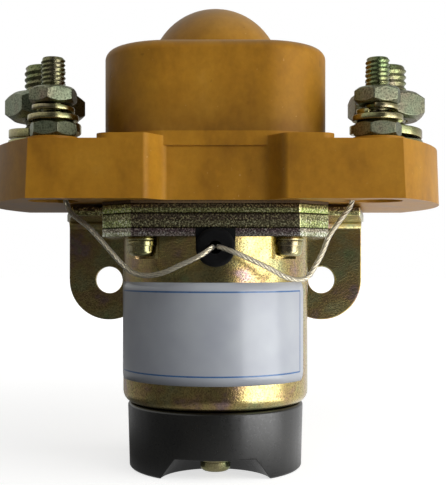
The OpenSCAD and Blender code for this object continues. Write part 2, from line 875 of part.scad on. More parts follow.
module cap_inside() {
    translate([0, 0, z_cap_foot + cap_wall])
        cylinder(r = cap_d / 2 - cap_taper - cap_wall, h = cap_h, $fn = fine);
}

module cap_screws() color(ZINC_PALE) at_axis() for (s = SIDE) translate([0, s * cap_screw_y, 0]) {
    head_z = z_scallop - spring_washer_t;
    translate([0, 0, head_z]) pan_head(cap_head_r, screw_head_h);
    rod(screw_r, head_z, z_can_floor - 0.2, 0.4);
}

module cap_spring_washers() color(ZINC_PALE) at_axis() for (s = SIDE)
    translate([0, s * cap_screw_y, z_scallop - spring_washer_t])
        split_ring(small_washer_r, screw_r, spring_washer_t, 200);

module frame_screws() color(ZINC_PALE) at_axis() at_screws() {
    head_z = z_flange - flat_washer_t - spring_washer_t;
    translate([0, 0, head_z]) pan_head(screw_head_r, screw_head_h);
    rod(screw_r, head_z, z_base + insert_h - 0.5, 0.4);
}

module frame_spring_washers() color(ZINC_PALE) at_axis() at_screws()
    translate([0, 0, z_flange - flat_washer_t - spring_washer_t])
        split_ring(small_washer_r - 0.1, screw_r, spring_washer_t, 70);

module frame_flat_washers() color(ZINC_PALE) at_axis() at_screws()
    translate([0, 0, z_flange - flat_washer_t]) ring(small_washer_r, screw_r, flat_washer_t);

// Main stud: a threaded rod whose flat head is moulded into the base under the strap
module main_stud_solid(side) {
    at_main(side) {
        stud(main_r, main_core_r, z_strap - 0.5, z_main_free, z_base_top + main_rise, 1);
        translate([0, 0, z_strap - main_head_t])
            cylinder(r = main_head_r, h = main_head_t, $fn = round_small);
    }
}

module main_stud(side) color(ZINC_PALE) at_axis() main_stud_solid(side);

module main_flat_washer(side) color(ZINC) at_axis() at_main(side)
    translate([0, 0, z_boss]) ring(main_flat_r, main_r + washer_play, main_flat_t);

module main_spring_washer(side) color(ZINC) at_axis() at_main(side)
    translate([0, 0, z_main_spring]) loose_ring(main_spring_r, main_r + washer_play,
        main_spring_t, main_spring_h, main_spring_turn[side]);

module main_nut(side) color(ZINC_PALE) at_axis() at_main(side)
    translate([0, 0, z_main_nut]) rotate(main_turn[side])
        nut(main_af, main_nut_h, main_core_r + nut_play);

module coil_stud(side) color(ZINC_PALE) at_axis() at_coil(side) {
    stud(coil_r, coil_core_r, z_base + coil_head_sunk, z_coil_free,
        z_base_top + coil_rise, 0.8);
    translate([0, 0, z_base + coil_head_sunk])
        cylinder(r = coil_head_r, h = coil_head_h, $fn = round_small);
}

module coil_lower_nut(side) color(ZINC_PALE) at_axis() at_coil(side)
    translate([0, 0, z_boss]) rotate(coil_lower_turn[side])
        nut(coil_af, coil_nut_h, coil_core_r + nut_play);

module coil_flat_washer(side) color(ZINC) at_axis() at_coil(side)
    translate([0, 0, z_coil_flat]) ring(coil_flat_r, coil_r + washer_play, coil_flat_t);

module coil_spring_washer(side) color(ZINC) at_axis() at_coil(side)
    translate([0, 0, z_coil_spring]) loose_ring(coil_spring_r, coil_r + washer_play,
        coil_spring_t, coil_spring_h, coil_spring_turn[side]);

module coil_upper_nut(side) color(ZINC_PALE) at_axis() at_coil(side)
    translate([0, 0, z_coil_nut]) rotate(coil_turn[side])
        nut(coil_af, coil_nut_h, coil_core_r + nut_play);

// Copper strap from under a main stud to the contact chamber
module strap_solid(side) {
    half_w = strap_w / 2;
    knee_x = tip_x + strap_knee;
    mirror([side == LEFT ? 1 : 0, 0, 0]) translate([0, 0, z_strap]) difference() {
        union() {
            translate([main_x, -main_y, 0]) cylinder(r = half_w, h = strap_t, $fn = 64);
            linear_extrude(strap_t) polygon([
                [strap_end, -half_w], [knee_x, -half_w], [main_x, -main_y - half_w],
                [main_x, -main_y + half_w], [knee_x, half_w], [strap_end, half_w]
            ]);
        }
        translate([main_x, -main_y, -past])
            cylinder(r = main_core_r + nut_play, h = strap_t + 2 * past, $fn = round_small);
    }
}

module contact_strap(side) color(COPPER) at_axis() strap_solid(side);

module fixed_tip(side) color(SILVER) at_axis() translate([SIDE[side] * tip_x, 0, z_fixed_tip])
    rod(tip_d / 2, 0, fixed_tip_t, 0.3);

// Bobbin: spool with a long neck that reaches the yoke plate above the dents of the can
module bobbin() color("#c8c4b4") at_axis() difference() {
    rotate_extrude($fn = fine) polygon([
        [bobbin_in_r, z_can_floor], [bobbin_flange_r, z_can_floor],
        [bobbin_flange_r, z_can_floor + bobbin_flange_t],
        [bobbin_out_r, z_can_floor + bobbin_flange_t],
        [bobbin_out_r, z_bobbin_top - bobbin_flange_t],
        [bobbin_flange_r, z_bobbin_top - bobbin_flange_t], [bobbin_flange_r, z_bobbin_top],
        [bobbin_out_r, z_bobbin_top], [bobbin_out_r, z_yoke], [bobbin_in_r, z_yoke]
    ]);
}

module coil_winding() color(COPPER) at_axis()
    translate([0, 0, z_can_floor + bobbin_flange_t + winding_play])
        ring(winding_r, bobbin_out_r + winding_play,
            bobbin_h - 2 * (bobbin_flange_t + winding_play));

module guide_tube() color(BRASS) at_axis() translate([0, 0, z_can_floor])
    ring(tube_out_r, tube_in_r, z_bracket - z_can_floor);

module fixed_core() color(STEEL) at_axis() rotate_extrude($fn = round_small) polygon([
    [0, z_can_foot], [core_foot_r, z_can_foot], [core_foot_r, z_can_floor],
    [core_r, z_can_floor], [core_r, z_core_top], [spring_seat_r, z_core_top],
    [spring_seat_r, z_core_top - core_seat], [0, z_core_top - core_seat]
]);

module plunger() color(STEEL) at_axis() rotate_extrude($fn = round_small) polygon([
    [0, z_plunger_foot + plunger_seat], [spring_seat_r, z_plunger_foot + plunger_seat],
    [spring_seat_r, z_plunger_foot], [plunger_r, z_plunger_foot], [plunger_r, z_stop],
    [rod_d / 2, z_stop], [rod_d / 2, z_stop - spigot_h], [0, z_stop - spigot_h]
]);

module stop_washer() color("#ddd8c8") at_axis() translate([0, 0, z_stop])
    ring(plunger_r - 0.2, rod_d / 2, stop_t);

module plunger_rod() color(STEEL) at_axis() rotate_extrude($fn = round_small) polygon([
    [0, z_stop - spigot_h], [rod_d / 2, z_stop - spigot_h], [rod_d / 2, z_stop + stop_t],
    [rod_collar_r, z_stop + stop_t], [rod_collar_r, z_bush], [rod_d / 2, z_bush],
    [rod_d / 2, rod_top - 0.5], [rod_d / 2 - 0.5, rod_top], [0, rod_top]
]);
rod_top = z_retainer + retainer_t + rod_nut_h + rod_end;

module insulating_bush() color("#7a2f22") at_axis() rotate_extrude($fn = round_small) polygon([
    [rod_d / 2, z_bush], [bush_flange_r, z_bush], [bush_flange_r, z_bridge],
    [bush_neck_r, z_bridge], [bush_neck_r, z_retainer], [rod_d / 2, z_retainer]
]);

module spring_retainer() color(ZINC_PALE) at_axis() translate([0, 0, z_retainer])
    ring(retainer_r, rod_d / 2, retainer_t);

module rod_nut() color(ZINC_PALE) at_axis() translate([0, 0, z_retainer + retainer_t])
    nut(rod_nut_af, rod_nut_h, rod_d / 2);

module contact_bridge() color(COPPER) at_axis() translate([0, 0, z_bridge]) difference() {
    linear_extrude(bridge_t) rounded_plan(2 * bridge_half, bridge_w, 3);
    translate([0, 0, -past])
        cylinder(r = bush_neck_r + run_c, h = bridge_t + 2 * past, $fn = round_small);
}

module bridge_tips() color(SILVER) at_axis() for (s = SIDE)
    translate([s * tip_x, 0, z_bridge]) mirror([0, 0, 1]) rod(tip_d / 2, 0, moving_tip_t, 0.3);

// Tube swept along a list of points, with flat ends
module swept(points, r, sides) {
    n = len(points);
    rings = [for (i = [0:n - 1])
        let (
            a = points[max(i - 1, 0)],
            b = points[min(i + 1, n - 1)],
            t = (b - a) / norm(b - a),
            u0 = cross(t, [0, 1, 0.3]),
            u = u0 / norm(u0),
            v = cross(t, u)
        )
        for (k = [0:sides - 1])
            points[i] + r * cos(360 * k / sides) * u + r * sin(360 * k / sides) * v];
    tube(rings, n, sides);
}

// Points of a compression spring whose end turns are closed
function spring_points(coil_r, wire, h, turns, z0) =
    let (
        steps = 12,
        n = turns * steps,
        rise = h - wire - 2 * 0.75 * wire,
        open = turns - 1.5
    )
    [for (i = [0:n])
        let (
            t = i / steps,
            z = t < 0.75 ? wire * t
                : t > turns - 0.75 ? h - wire - wire * (turns - t)
                : 0.75 * wire + rise * (t - 0.75) / open
        )
        [coil_r * cos(360 * t), coil_r * sin(360 * t), z0 + wire / 2 + z]];

module return_spring() color(STEEL) at_axis() swept(
    spring_points(spring_seat_r - return_wire / 2 - 0.4, return_wire,
        core_seat + pole_gap + stroke + plunger_seat, 8, z_core_top - core_seat),
    return_wire / 2, 6);

module contact_spring() color(STEEL) at_axis() swept(
    spring_points(spring_coil_r, contact_wire, spring_h, 5, z_bridge + bridge_t),
    contact_wire / 2, 6);

// A point on the smooth curve through four neighbours
function curve_point(p0, p1, p2, p3, t) =
    0.5 * (2 * p1 + (p2 - p0) * t + (2 * p0 - 5 * p1 + 4 * p2 - p3) * t * t
        + (3 * p1 - p0 - 3 * p2 + p3) * t * t * t);

// The route with one more point on the smooth curve between each two of its own
function smooth_route(route) =
    let (n = len(route))
    concat([for (i = [0:n - 2]) for (t = [0, 0.5])
        curve_point(route[max(i - 1, 0)], route[i], route[i + 1], route[min(i + 2, n - 1)], t)],
        [route[n - 1]]);

module lead(side) color("#cfcabb") at_axis()
    swept(smooth_route(side == LEFT ? LEAD_LEFT : LEAD_RIGHT), lead_d / 2, 8);

// Ring lug clamped under a coil stud, with a barrel that takes the lead from below
module lead_lug(side) color(SILVER) at_axis() at_coil(side)
    translate([0, 0, z_base + coil_head_sunk + coil_head_h]) rotate(lug_angle(side)) {
        difference() {
            union() {
                cylinder(r = lug_r, h = lug_t, $fn = round_small);
                translate([0, -lug_barrel_r, 0]) cube([lug_reach, 2 * lug_barrel_r, lug_t]);
                translate([lug_reach, 0, 0])
                    cylinder(r = lug_barrel_r, h = lug_t, $fn = round_small);
            }
            translate([0, 0, -past])
                cylinder(r = coil_core_r + nut_play, h = lug_t + 2 * past, $fn = round_small);
        }
        translate([lug_reach, 0, -lug_barrel_h])
            cylinder(r = lug_barrel_r, h = lug_barrel_h, $fn = round_small);
    }

housing();
insulating_gasket();
threaded_inserts();
mounting_bracket();
yoke_plate();
magnet_can();
grommet();
label();
end_cap();
cap_screws();
cap_spring_washers();
frame_screws();
frame_spring_washers();
frame_flat_washers();
main_stud(LEFT);  // main_stud_left
main_stud(RIGHT);  // main_stud_right
main_flat_washer(LEFT);  // main_flat_washer_left
main_flat_washer(RIGHT);  // main_flat_washer_right
main_spring_washer(LEFT);  // main_spring_washer_left
main_spring_washer(RIGHT);  // main_spring_washer_right
main_nut(LEFT);  // main_nut_left
main_nut(RIGHT);  // main_nut_right
coil_stud(LEFT);  // coil_stud_left
coil_stud(RIGHT);  // coil_stud_right
coil_lower_nut(LEFT);  // coil_lower_nut_left
coil_lower_nut(RIGHT);  // coil_lower_nut_right
coil_flat_washer(LEFT);  // coil_flat_washer_left
coil_flat_washer(RIGHT);  // coil_flat_washer_right
coil_spring_washer(LEFT);  // coil_spring_washer_left
coil_spring_washer(RIGHT);  // coil_spring_washer_right
coil_upper_nut(LEFT);  // coil_upper_nut_left
coil_upper_nut(RIGHT);  // coil_upper_nut_right
contact_strap(LEFT);  // contact_strap_left
contact_strap(RIGHT);  // contact_strap_right
fixed_tip(LEFT);  // fixed_tip_left
fixed_tip(RIGHT);  // fixed_tip_right
bobbin();
coil_winding();
guide_tube();
fixed_core();
return_spring();
lead(LEFT);  // lead_left
lead(RIGHT);  // lead_right
lead_lug(LEFT);  // lead_lug_left
lead_lug(RIGHT);  // lead_lug_right
plunger();
stop_washer();
plunger_rod();
insulating_bush();
spring_retainer();
rod_nut();
contact_spring();
contact_bridge();
bridge_tips();
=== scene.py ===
"""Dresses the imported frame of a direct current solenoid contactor.

Every length is in metres and every piece sits where the frame has it: the can's axis is 30 mm in
front of the mounting face, +X is to the right-hand terminals and +Z is up.
"""
import math

import bmesh
import bpy
from mathutils import Matrix, Vector


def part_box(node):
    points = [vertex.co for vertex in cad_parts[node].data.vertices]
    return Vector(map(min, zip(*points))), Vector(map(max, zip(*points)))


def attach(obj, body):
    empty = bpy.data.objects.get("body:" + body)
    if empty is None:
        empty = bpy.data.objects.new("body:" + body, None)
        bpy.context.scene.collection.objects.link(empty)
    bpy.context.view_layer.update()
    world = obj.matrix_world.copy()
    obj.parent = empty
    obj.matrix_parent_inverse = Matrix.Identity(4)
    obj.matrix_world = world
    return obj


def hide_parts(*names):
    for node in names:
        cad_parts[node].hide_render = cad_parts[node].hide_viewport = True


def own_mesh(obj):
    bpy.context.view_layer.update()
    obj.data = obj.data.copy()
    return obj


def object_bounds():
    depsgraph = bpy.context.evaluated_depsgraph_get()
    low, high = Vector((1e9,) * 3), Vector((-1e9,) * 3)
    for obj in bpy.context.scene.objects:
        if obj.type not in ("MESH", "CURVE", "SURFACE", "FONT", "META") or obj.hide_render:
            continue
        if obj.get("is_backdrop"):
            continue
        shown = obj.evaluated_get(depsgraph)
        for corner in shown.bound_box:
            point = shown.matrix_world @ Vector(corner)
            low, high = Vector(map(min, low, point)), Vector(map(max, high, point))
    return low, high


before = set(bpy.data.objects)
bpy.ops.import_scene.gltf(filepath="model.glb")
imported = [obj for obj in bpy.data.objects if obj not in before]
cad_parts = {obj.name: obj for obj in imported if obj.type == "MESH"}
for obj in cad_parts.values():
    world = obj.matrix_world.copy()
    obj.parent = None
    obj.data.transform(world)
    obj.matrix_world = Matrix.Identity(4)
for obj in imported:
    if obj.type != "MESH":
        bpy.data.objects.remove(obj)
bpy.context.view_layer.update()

bl_info = {
    "name": "Contactor dressing",
    "version": (1, 0, 0),
    "blender": (4, 5, 0),
    "location": "3D View > Sidebar > Contactor",
    "description": "Models and finishes the pieces of a direct current solenoid contactor",
    "category": "Object",
}

MM = 0.001
AXIS = Vector((0, -0.030, 0))
SIDES = (("left", -1), ("right", 1))
# Lowest and highest Z of each solid
LEVEL = {name: (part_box(name)[0][2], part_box(name)[1][2]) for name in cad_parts}
COVER_FOOT = 34.9 * MM
FLANGE = 2 * MM
CAN_RADIUS = 23.2 * MM

# The photograph's longer side, and the pixels in it that one unit of slope covers
FRAME_SIDE = 485
FOCAL = 948

# The label's inner face, the part of the can that it goes round in degrees, and its thickness
LABEL_RADIUS = 23.22 * MM
LABEL_SPAN = (-80, 66)
LABEL_FILM = 0.16 * MM

# Each kind of stud: its place from the can's axis, on the right, its crests' radius and the
# chamfer of its end. The coil studs are M6, their crests rounded off to 2.8 mm.
STUDS = {
    "main": (Vector((42, -6, 0)) * MM, 5 * MM, 0.7 * MM),
    "coil": (Vector((37.6, -20.2, 0)) * MM, 2.8 * MM, 0.5 * MM),
}
# Threads start out of sight, inside the moulding
THREAD_FOOT = 30 * MM
# A thread's profile: shares of the pitch along the axis, and of the depth inwards
PROFILE = ((0, 0), (0.14, 0), (0.46, 1), (0.66, 1))
# Depth over pitch. A sharp thread has 0.61, and rolling and plating leave the roots shallower.
THREAD_DEPTH = 0.3

# Degrees by which each nut and each pair of washers is turned, as in the photograph
NUT_TURNS = {
    "main_nut_left": 6, "main_nut_right": -27,
    "coil_upper_nut_left": 26, "coil_upper_nut_right": 13,
    "coil_lower_nut_left": 49, "coil_lower_nut_right": 5,
}
WASHER_TURNS = {"main_left": 40, "main_right": 60, "coil_left": 0, "coil_right": -14}

# Strands in a lead, and as shares of its width: a strand's radius and its distance from the middle
STRANDS = 3
STRAND_RADIUS = 0.2
STRAND_OFFSET = 0.22

# Routes of the two leads, from the coil to their lugs, in millimetres from the can's axis
ROUTES = {
    "left": [
        (-1.2, -15, 4.6), (-0.9, -17, 7.2), (-0.7, -20, 8.2), (-0.7, -24, 8.3), (-0.9, -26.6, 8.1),
        (-3.7, -27.8, 6.2), (-8, -27, 4.2), (-11.6, -26, 2.6), (-15.2, -24.6, 1.9),
        (-18.6, -23, 2.4), (-21.4, -21.8, 4.4), (-24.2, -21, 7.4), (-27, -20.2, 10.5),
        (-29.8, -19, 13.3), (-32.4, -17, 15.2), (-34.6, -15.4, 17.2), (-35.6, -14.75, 19.8)],
    "right": [
        (1.2, -15, 4.6), (0.9, -17, 7.2), (0.7, -20, 8.2), (0.7, -24, 8.4), (1, -26.6, 8.3),
        (4.6, -28, 7), (9, -27.4, 5), (12.6, -26.2, 3.3), (15.6, -25, 1.7),
        (18.8, -24, 0.9), (21.2, -23, 1.6), (22.9, -22.4, 4), (24.6, -21.8, 7),
        (26.2, -21.2, 10.8), (28.4, -20.7, 14), (30, -20.4, 16.1), (31.3, -20.2, 17.9),
        (31.8, -20.2, 19.8)],
}


def linear(code):
    """The linear colour of an sRGB hex code."""
    parts = [int(code[i:i + 2], 16) / 255 for i in (1, 3, 5)]
    return tuple(p / 12.92 if p <= 0.04045 else ((p + 0.055) / 1.055) ** 2.4 for p in parts)


# Sizes and colours

def length(name, text, default):
    """A length in metres that the panel shows."""
    return bpy.props.FloatProperty(name=name, description=text, default=default,
                                   subtype="DISTANCE", unit="LENGTH", precision=5)


def colour(name, text, default):
    """A colour that the panel shows, its default given as a hex code."""
    return bpy.props.FloatVectorProperty(name=name, description=text, default=linear(default),
                                         subtype="COLOR", size=3, min=0, max=1)


class ContactorSizes(bpy.types.PropertyGroup):
    """Sizes that can change without the frame"""
    main_pitch: length("Main thread pitch", "Pitch of the main studs", 1.5 * MM)
    coil_pitch: length("Coil thread pitch", "Pitch of the coil studs", 1.0 * MM)
    main_flats: length("Main nut flats", "Width across the flats of the main nuts", 17 * MM)
    coil_flats: length("Coil nut flats", "Width across the flats of the coil nuts", 10 * MM)
    moulded_edge: length("Moulded edge", "Rounding of the edges of the mouldings", 0.45 * MM)
    sheet_edge: length("Sheet edge", "Rounding of the edges of the sheet metal", 0.32 * MM)
    lead_width: length("Lead width", "Diameter of the clear sleeves of the leads", 1.2 * MM)
    lead_twist: length("Lead twist", "Length over which the strands wind once round", 4.488 * MM)
    label_corner: length("Label corner", "Rounding of the corners of the label", 2.3 * MM)
    label_border: length("Label border", "Width of the printed line round the label", 0.36 * MM)
    label_margin: length("Label margin", "From the edge of the label to its line", 2.0 * MM)


class ContactorColours(bpy.types.PropertyGroup):
    """The lightest tint of each finish, from which its others are worked out"""
    moulding: colour("Moulding", "Ochre moulding compound", "#c69036")
    zinc: colour("Yellow zinc", "Chromate film on sheet metal", "#d2c49a")
    sheared: colour("Cut edges", "Cut edges of the plates", "#d0c8b4")
    nuts: colour("Nuts", "Pale zinc on the nuts", "#a09e82")
    washers: colour("Washers", "Bright zinc on washers and screws", "#beb688")
    threads: colour("Threads", "Greenish zinc on the studs", "#98a874")
    plastic: colour("Black plastic", "End cap", "#131310")
    label: colour("Label film", "White label film", "#c4c9d0")
    border: colour("Label line", "Printed line round the label", "#4a7bb4")


# Materials

# Sockets of a Mix node that mixes colours, and its settings
FACTOR, UNDER, OVER, MIXED = 0, 6, 7, 2
BLEND = {"data_type": "RGBA"}
MULTIPLY = {"data_type": "RGBA", "blend_type": "MULTIPLY"}
WHITE = (1, 1, 1)


def fill(tree, node, sockets):
    """Gives each socket of a node its value, or a link from another node."""
    for key, value in sockets.items():
        socket = node.inputs[key]
        if isinstance(value, bpy.types.NodeSocket):
            tree.links.new(value, socket)
        else:
            socket.default_value = (*value, 1) if socket.type == "RGBA" else value


def add(tree, kind, sockets=None, out=0, stops=(), **settings):
    """Adds a node with its settings and links, and a ramp's stops; returns one of its outputs."""
    made = tree.nodes.new("ShaderNode" + kind)
    for key, value in settings.items():
        setattr(made, key, value)
    if stops:
        ramp = made.color_ramp.elements
        ramp.remove(ramp[1])
        ramp[0].position = stops[0][0]
        ramp[0].color = (*stops[0][1], 1)
        for position, tint in stops[1:]:
            ramp.new(position).color = (*tint, 1)
    fill(tree, made, sockets or {})
    return made.outputs[out]


def share(base, code):
    """The share of a base colour that a hex code stands for."""
    return tuple(one * part for one, part in zip(base, linear(code)))


def shares(base, *stops):
    """A ramp's stops, each a share of a base colour."""
    return [(position, share(base, code)) for position, code in stops]


def shader(name, base, sockets):
    """A material; returns it, its tree, its Principled shader and its Object coordinates."""
    mat = bpy.data.materials.new(name)
    mat.use_nodes = True
    tree = mat.node_tree
    body = tree.nodes["Principled BSDF"]
    fill(tree, body, {"Base Color": base, **sockets})
    return mat, tree, body, add(tree, "TexCoord", out="Object")


def moulded_polyester(name, base):
    mat, tree, body, place = shader(name, base, {
        "IOR": 1.54, "Specular IOR Level": 0.25, "Subsurface Weight": 0.1,
        "Subsurface Scale": 2 * MM, "Subsurface Radius": (1.0, 0.5, 0.15)})
    # Clouds 13 mm across, flattened by the flow
    flow = add(tree, "Mapping", {"Vector": place, "Scale": (1, 1, 0.6)})
    clouds = add(tree, "TexNoise", {
        "Vector": flow, "Scale": 1 / (13 * MM), "Detail": 4, "Roughness": 0.65})
    tint = add(tree, "ValToRGB", {"Fac": clouds}, stops=shares(
        base, (0.3, "#c5bb94"), (0.45, "#e3daa0"), (0.6, "#f0ebb8"), (0.75, "#ffffff")))
    # Mottle of resin and filler, 2.4 mm
    mottle = add(tree, "TexNoise", {
        "Vector": place, "Scale": 1 / (2.4 * MM), "Detail": 4, "Roughness": 0.7})
    mottle = add(tree, "ValToRGB", {"Fac": mottle}, stops=shares(
        WHITE, (0.38, "#dcdad4"), (0.62, "#ffffff")))
    tint = add(tree, "Mix", {FACTOR: 0.4, UNDER: tint, OVER: mottle}, MIXED, **MULTIPLY)
    # Painted shade: the cover is darker over its lowest 12 mm, just above the base
    low, high = LEVEL["housing"]
    height = add(tree, "SeparateXYZ", {"Vector": place}, "Z")
    height = add(tree, "MapRange", {"Value": height, "From Min": low, "From Max": high})
    foot = (COVER_FOOT - low) / (high - low)
    painted_low_shade = add(tree, "ValToRGB", {"Fac": height}, stops=shares(
        WHITE, (foot - 0.004, "#ffffff"), (foot, "#c8c8ea"), (foot + 0.1, "#e6e6f4"),
        (foot + 0.24, "#ffffff")))
    tint = add(tree, "Mix", {FACTOR: 0.9, UNDER: tint, OVER: painted_low_shade}, MIXED, **MULTIPLY)
    # Dust lies on what faces up
    up = add(tree, "SeparateXYZ", {"Vector": add(tree, "NewGeometry", out="Normal")}, "Z")
    dust = add(tree, "MapRange", {
        "Value": up, "From Min": 0.25, "From Max": 0.95, "To Max": 0.45})
    tint = add(tree, "Mix", {FACTOR: dust, UNDER: tint, OVER: linear("#8c7858")}, MIXED, **BLEND)
    # Glass flecks about 0.4 mm across, one or two on each square centimetre
    flecks = add(tree, "TexNoise", {
        "Vector": place, "Scale": 1 / (1.0 * MM), "Detail": 1, "Roughness": 0.4})
    flecks = add(tree, "MapRange", {
        "Value": flecks, "From Min": 0.76, "From Max": 0.82, "To Max": 0.4})
    tint = add(tree, "Mix", {FACTOR: flecks, UNDER: tint, OVER: linear("#d8b070")}, MIXED, **BLEND)
    # A few dark pits about 0.3 mm across
    pits = add(tree, "Mapping", {"Vector": place, "Scale": (1, 1.1, 0.9)})
    pits = add(tree, "TexNoise", {
        "Vector": pits, "Scale": 1 / (1.5 * MM), "Detail": 0, "Roughness": 0.4})
    pits = add(tree, "MapRange", {
        "Value": pits, "From Min": 0.85, "From Max": 0.87, "To Max": 0.25})
    tint = add(tree, "Mix", {FACTOR: pits, UNDER: tint, OVER: linear("#5a3a16")}, MIXED, **BLEND)
    rough = add(tree, "MapRange", {
        "Value": clouds, "From Min": 0.3, "From Max": 0.7, "To Min": 0.4, "To Max": 0.48})
    # The skin of the moulding, 0.5 mm from hump to hump
    skin = add(tree, "TexNoise", {
        "Vector": place, "Scale": 1 / (0.5 * MM), "Detail": 2, "Roughness": 0.5})
    skin = add(tree, "Bump", {"Height": skin, "Distance": 0.02 * MM, "Strength": 0.5})
    fill(tree, body, {"Base Color": tint, "Roughness": rough, "Normal": skin})
    return mat


def chromated_zinc(name, base, tints, rough, grit, relief):
    mat, tree, body, place = shader(name, base, {"Metallic": 1})
    # The film's thickness changes over some 7 mm
    film = add(tree, "TexNoise", {
        "Vector": place, "Scale": 1 / (7 * MM), "Detail": 3, "Roughness": 0.6})
    tint = add(tree, "ValToRGB", {"Fac": film}, stops=shares(base, *tints))
    # The crystals under it are a few hundredths of a millimetre, and drawn 0.4 mm to show
    fine = add(tree, "TexNoise", {
        "Vector": place, "Scale": 1 / (0.4 * MM), "Detail": 2, "Roughness": 0.7})
    shade = add(tree, "ValToRGB", {"Fac": fine}, stops=shares(
        WHITE, (0.35, "#6e6e6e"), (0.5, "#d8d8d8"), (0.7, "#ffffff")))
    tint = add(tree, "Mix", {FACTOR: grit, UNDER: tint, OVER: shade}, MIXED, **MULTIPLY)
    gloss = add(tree, "MapRange", {
        "Value": fine, "From Min": 0.3, "From Max": 0.7,
        "To Min": rough + 0.1, "To Max": rough - 0.06})
    skin = add(tree, "Bump", {"Height": fine, "Distance": relief, "Strength": 0.5})
    fill(tree, body, {"Base Color": tint, "Roughness": gloss, "Normal": skin})
    return mat


def sheared_zinc(name, base, tone_and_painted_highlight):
    mat, tree, body, place = shader(name, base, {"Metallic": 1, "Roughness": 0.3})
    # Across each plate: its torn lower half, its burnished upper half and a painted shadow in the
    # gap between it and the next, for the can's flange, the yoke plate and the bracket
    yoke = LEVEL["yoke_plate"]
    foot, top = yoke[0] - FLANGE, LEVEL["insulating_gasket"][0]
    # Near black: painted shadow in the gaps between the plates
    painted_gap_shade = linear("#0c0a06")
    stops = []
    for low, high, torn, burnished in (
            (foot, yoke[0], "#fff0ff", "#cfb4cd"), (*yoke, "#d8d2b7", "#b6a79e"),
            (yoke[1], top, "#faffc2", "#a89582")):
        torn, burnished = share(base, torn), share(base, burnished)
        for part, tint in ((0, painted_gap_shade), (0.1, torn), (0.42, torn), (0.56, burnished),
                           (0.86, burnished), (0.97, painted_gap_shade)):
            stops.append(((low + part * (high - low) - foot) / (top - foot), tint))
    height = add(tree, "SeparateXYZ", {"Vector": place}, "Z")
    height = add(tree, "MapRange", {"Value": height, "From Min": foot, "From Max": top})
    bands = add(tree, "ValToRGB", {"Fac": height}, stops=stops)
    # Torn grains, drawn 0.4 mm to show: some are dark, and some carry painted glints
    marks = add(tree, "TexNoise", {
        "Vector": place, "Scale": 1 / (0.42 * MM), "Detail": 2, "Roughness": 0.7})
    dark = add(tree, "MapRange", {
        "Value": marks, "From Min": 0.45, "From Max": 0.58, "To Min": 0.8, "To Max": 0})
    tint = add(tree, "Mix", {FACTOR: dark, UNDER: bands, OVER: linear("#1c180e")}, MIXED, **BLEND)
    patches = add(tree, "TexNoise", {
        "Vector": place, "Scale": 1 / (3 * MM), "Detail": 2, "Roughness": 0.6})
    patches = add(tree, "MapRange", {
        "Value": patches, "From Min": 0.4, "From Max": 0.6, "To Min": 0.03, "To Max": -0.03})
    painted_glint = add(tree, "Math", {0: marks, 1: patches}, operation="SUBTRACT")
    painted_glint = add(tree, "MapRange", {"Value": painted_glint, "From Min": 0.59, "From Max": 0.63})
    # Painted glints: the bands' colours made over three times as bright
    bright = add(tree, "Mix", {FACTOR: 1, UNDER: bands, OVER: (3.4, 3.5, 2.3)}, MIXED, **MULTIPLY)
    tint = add(tree, "Mix", {FACTOR: painted_glint, UNDER: tint, OVER: bright}, MIXED, **BLEND)
    # A tone for the whole finish; on the cut-off corners a painted highlight, up to 2.8 times as
    # bright
    tint = add(tree, "Mix", {FACTOR: 1, UNDER: tint, OVER: tone_and_painted_highlight}, MIXED, **MULTIPLY)
    relief = add(tree, "Bump", {"Height": marks, "Distance": 0.06 * MM, "Strength": 1})
    fill(tree, body, {"Base Color": tint, "Normal": relief})
    return mat


def moulded_nylon(name, base):
    mat, tree, body, place = shader(name, base, {"IOR": 1.53, "Specular IOR Level": 0.8})
    # The tool's spark texture, 0.6 mm from hump to hump
    fine = add(tree, "TexNoise", {
        "Vector": place, "Scale": 1 / (0.6 * MM), "Detail": 3, "Roughness": 0.6})
    rough = add(tree, "MapRange", {
        "Value": fine, "From Min": 0.3, "From Max": 0.7, "To Min": 0.26, "To Max": 0.38})
    clouds = add(tree, "TexNoise", {
        "Vector": place, "Scale": 1 / (6 * MM), "Detail": 3, "Roughness": 0.5})
    tint = add(tree, "ValToRGB", {"Fac": clouds}, stops=shares(
        base, (0.35, "#c6c6c9"), (0.6, "#ffffff")))
    skin = add(tree, "Bump", {"Height": fine, "Distance": 0.03 * MM, "Strength": 0.4})
    fill(tree, body, {"Base Color": tint, "Roughness": rough, "Normal": skin})
    return mat


def moulded_neoprene(name, base):
    mat, tree, body, place = shader(name, base, {
        "Roughness": 0.85, "IOR": 1.45, "Specular IOR Level": 0.25})
    # Dusty bloom in spots of 1.2 mm
    dust = add(tree, "TexNoise", {
        "Vector": place, "Scale": 1 / (1.2 * MM), "Detail": 4, "Roughness": 0.6})
    tint = add(tree, "ValToRGB", {"Fac": dust}, stops=[(0.4, linear("#050506")), (0.8, base)])
    skin = add(tree, "Bump", {"Height": dust, "Distance": 0.03 * MM, "Strength": 0.5})
    fill(tree, body, {"Base Color": tint, "Normal": skin})
    return mat


def punched_fibre(name, base):
    mat, tree, body, place = shader(name, base, {"Roughness": 0.7})
    # Tufts of fibre, 0.4 mm
    fine = add(tree, "TexNoise", {
        "Vector": place, "Scale": 1 / (0.4 * MM), "Detail": 3, "Roughness": 0.6})
    tint = add(tree, "ValToRGB", {"Fac": fine}, stops=[(0.35, linear("#4a3822")), (0.65, base)])
    skin = add(tree, "Bump", {"Height": fine, "Distance": 0.03 * MM, "Strength": 1})
    fill(tree, body, {"Base Color": tint, "Normal": skin})
    return mat


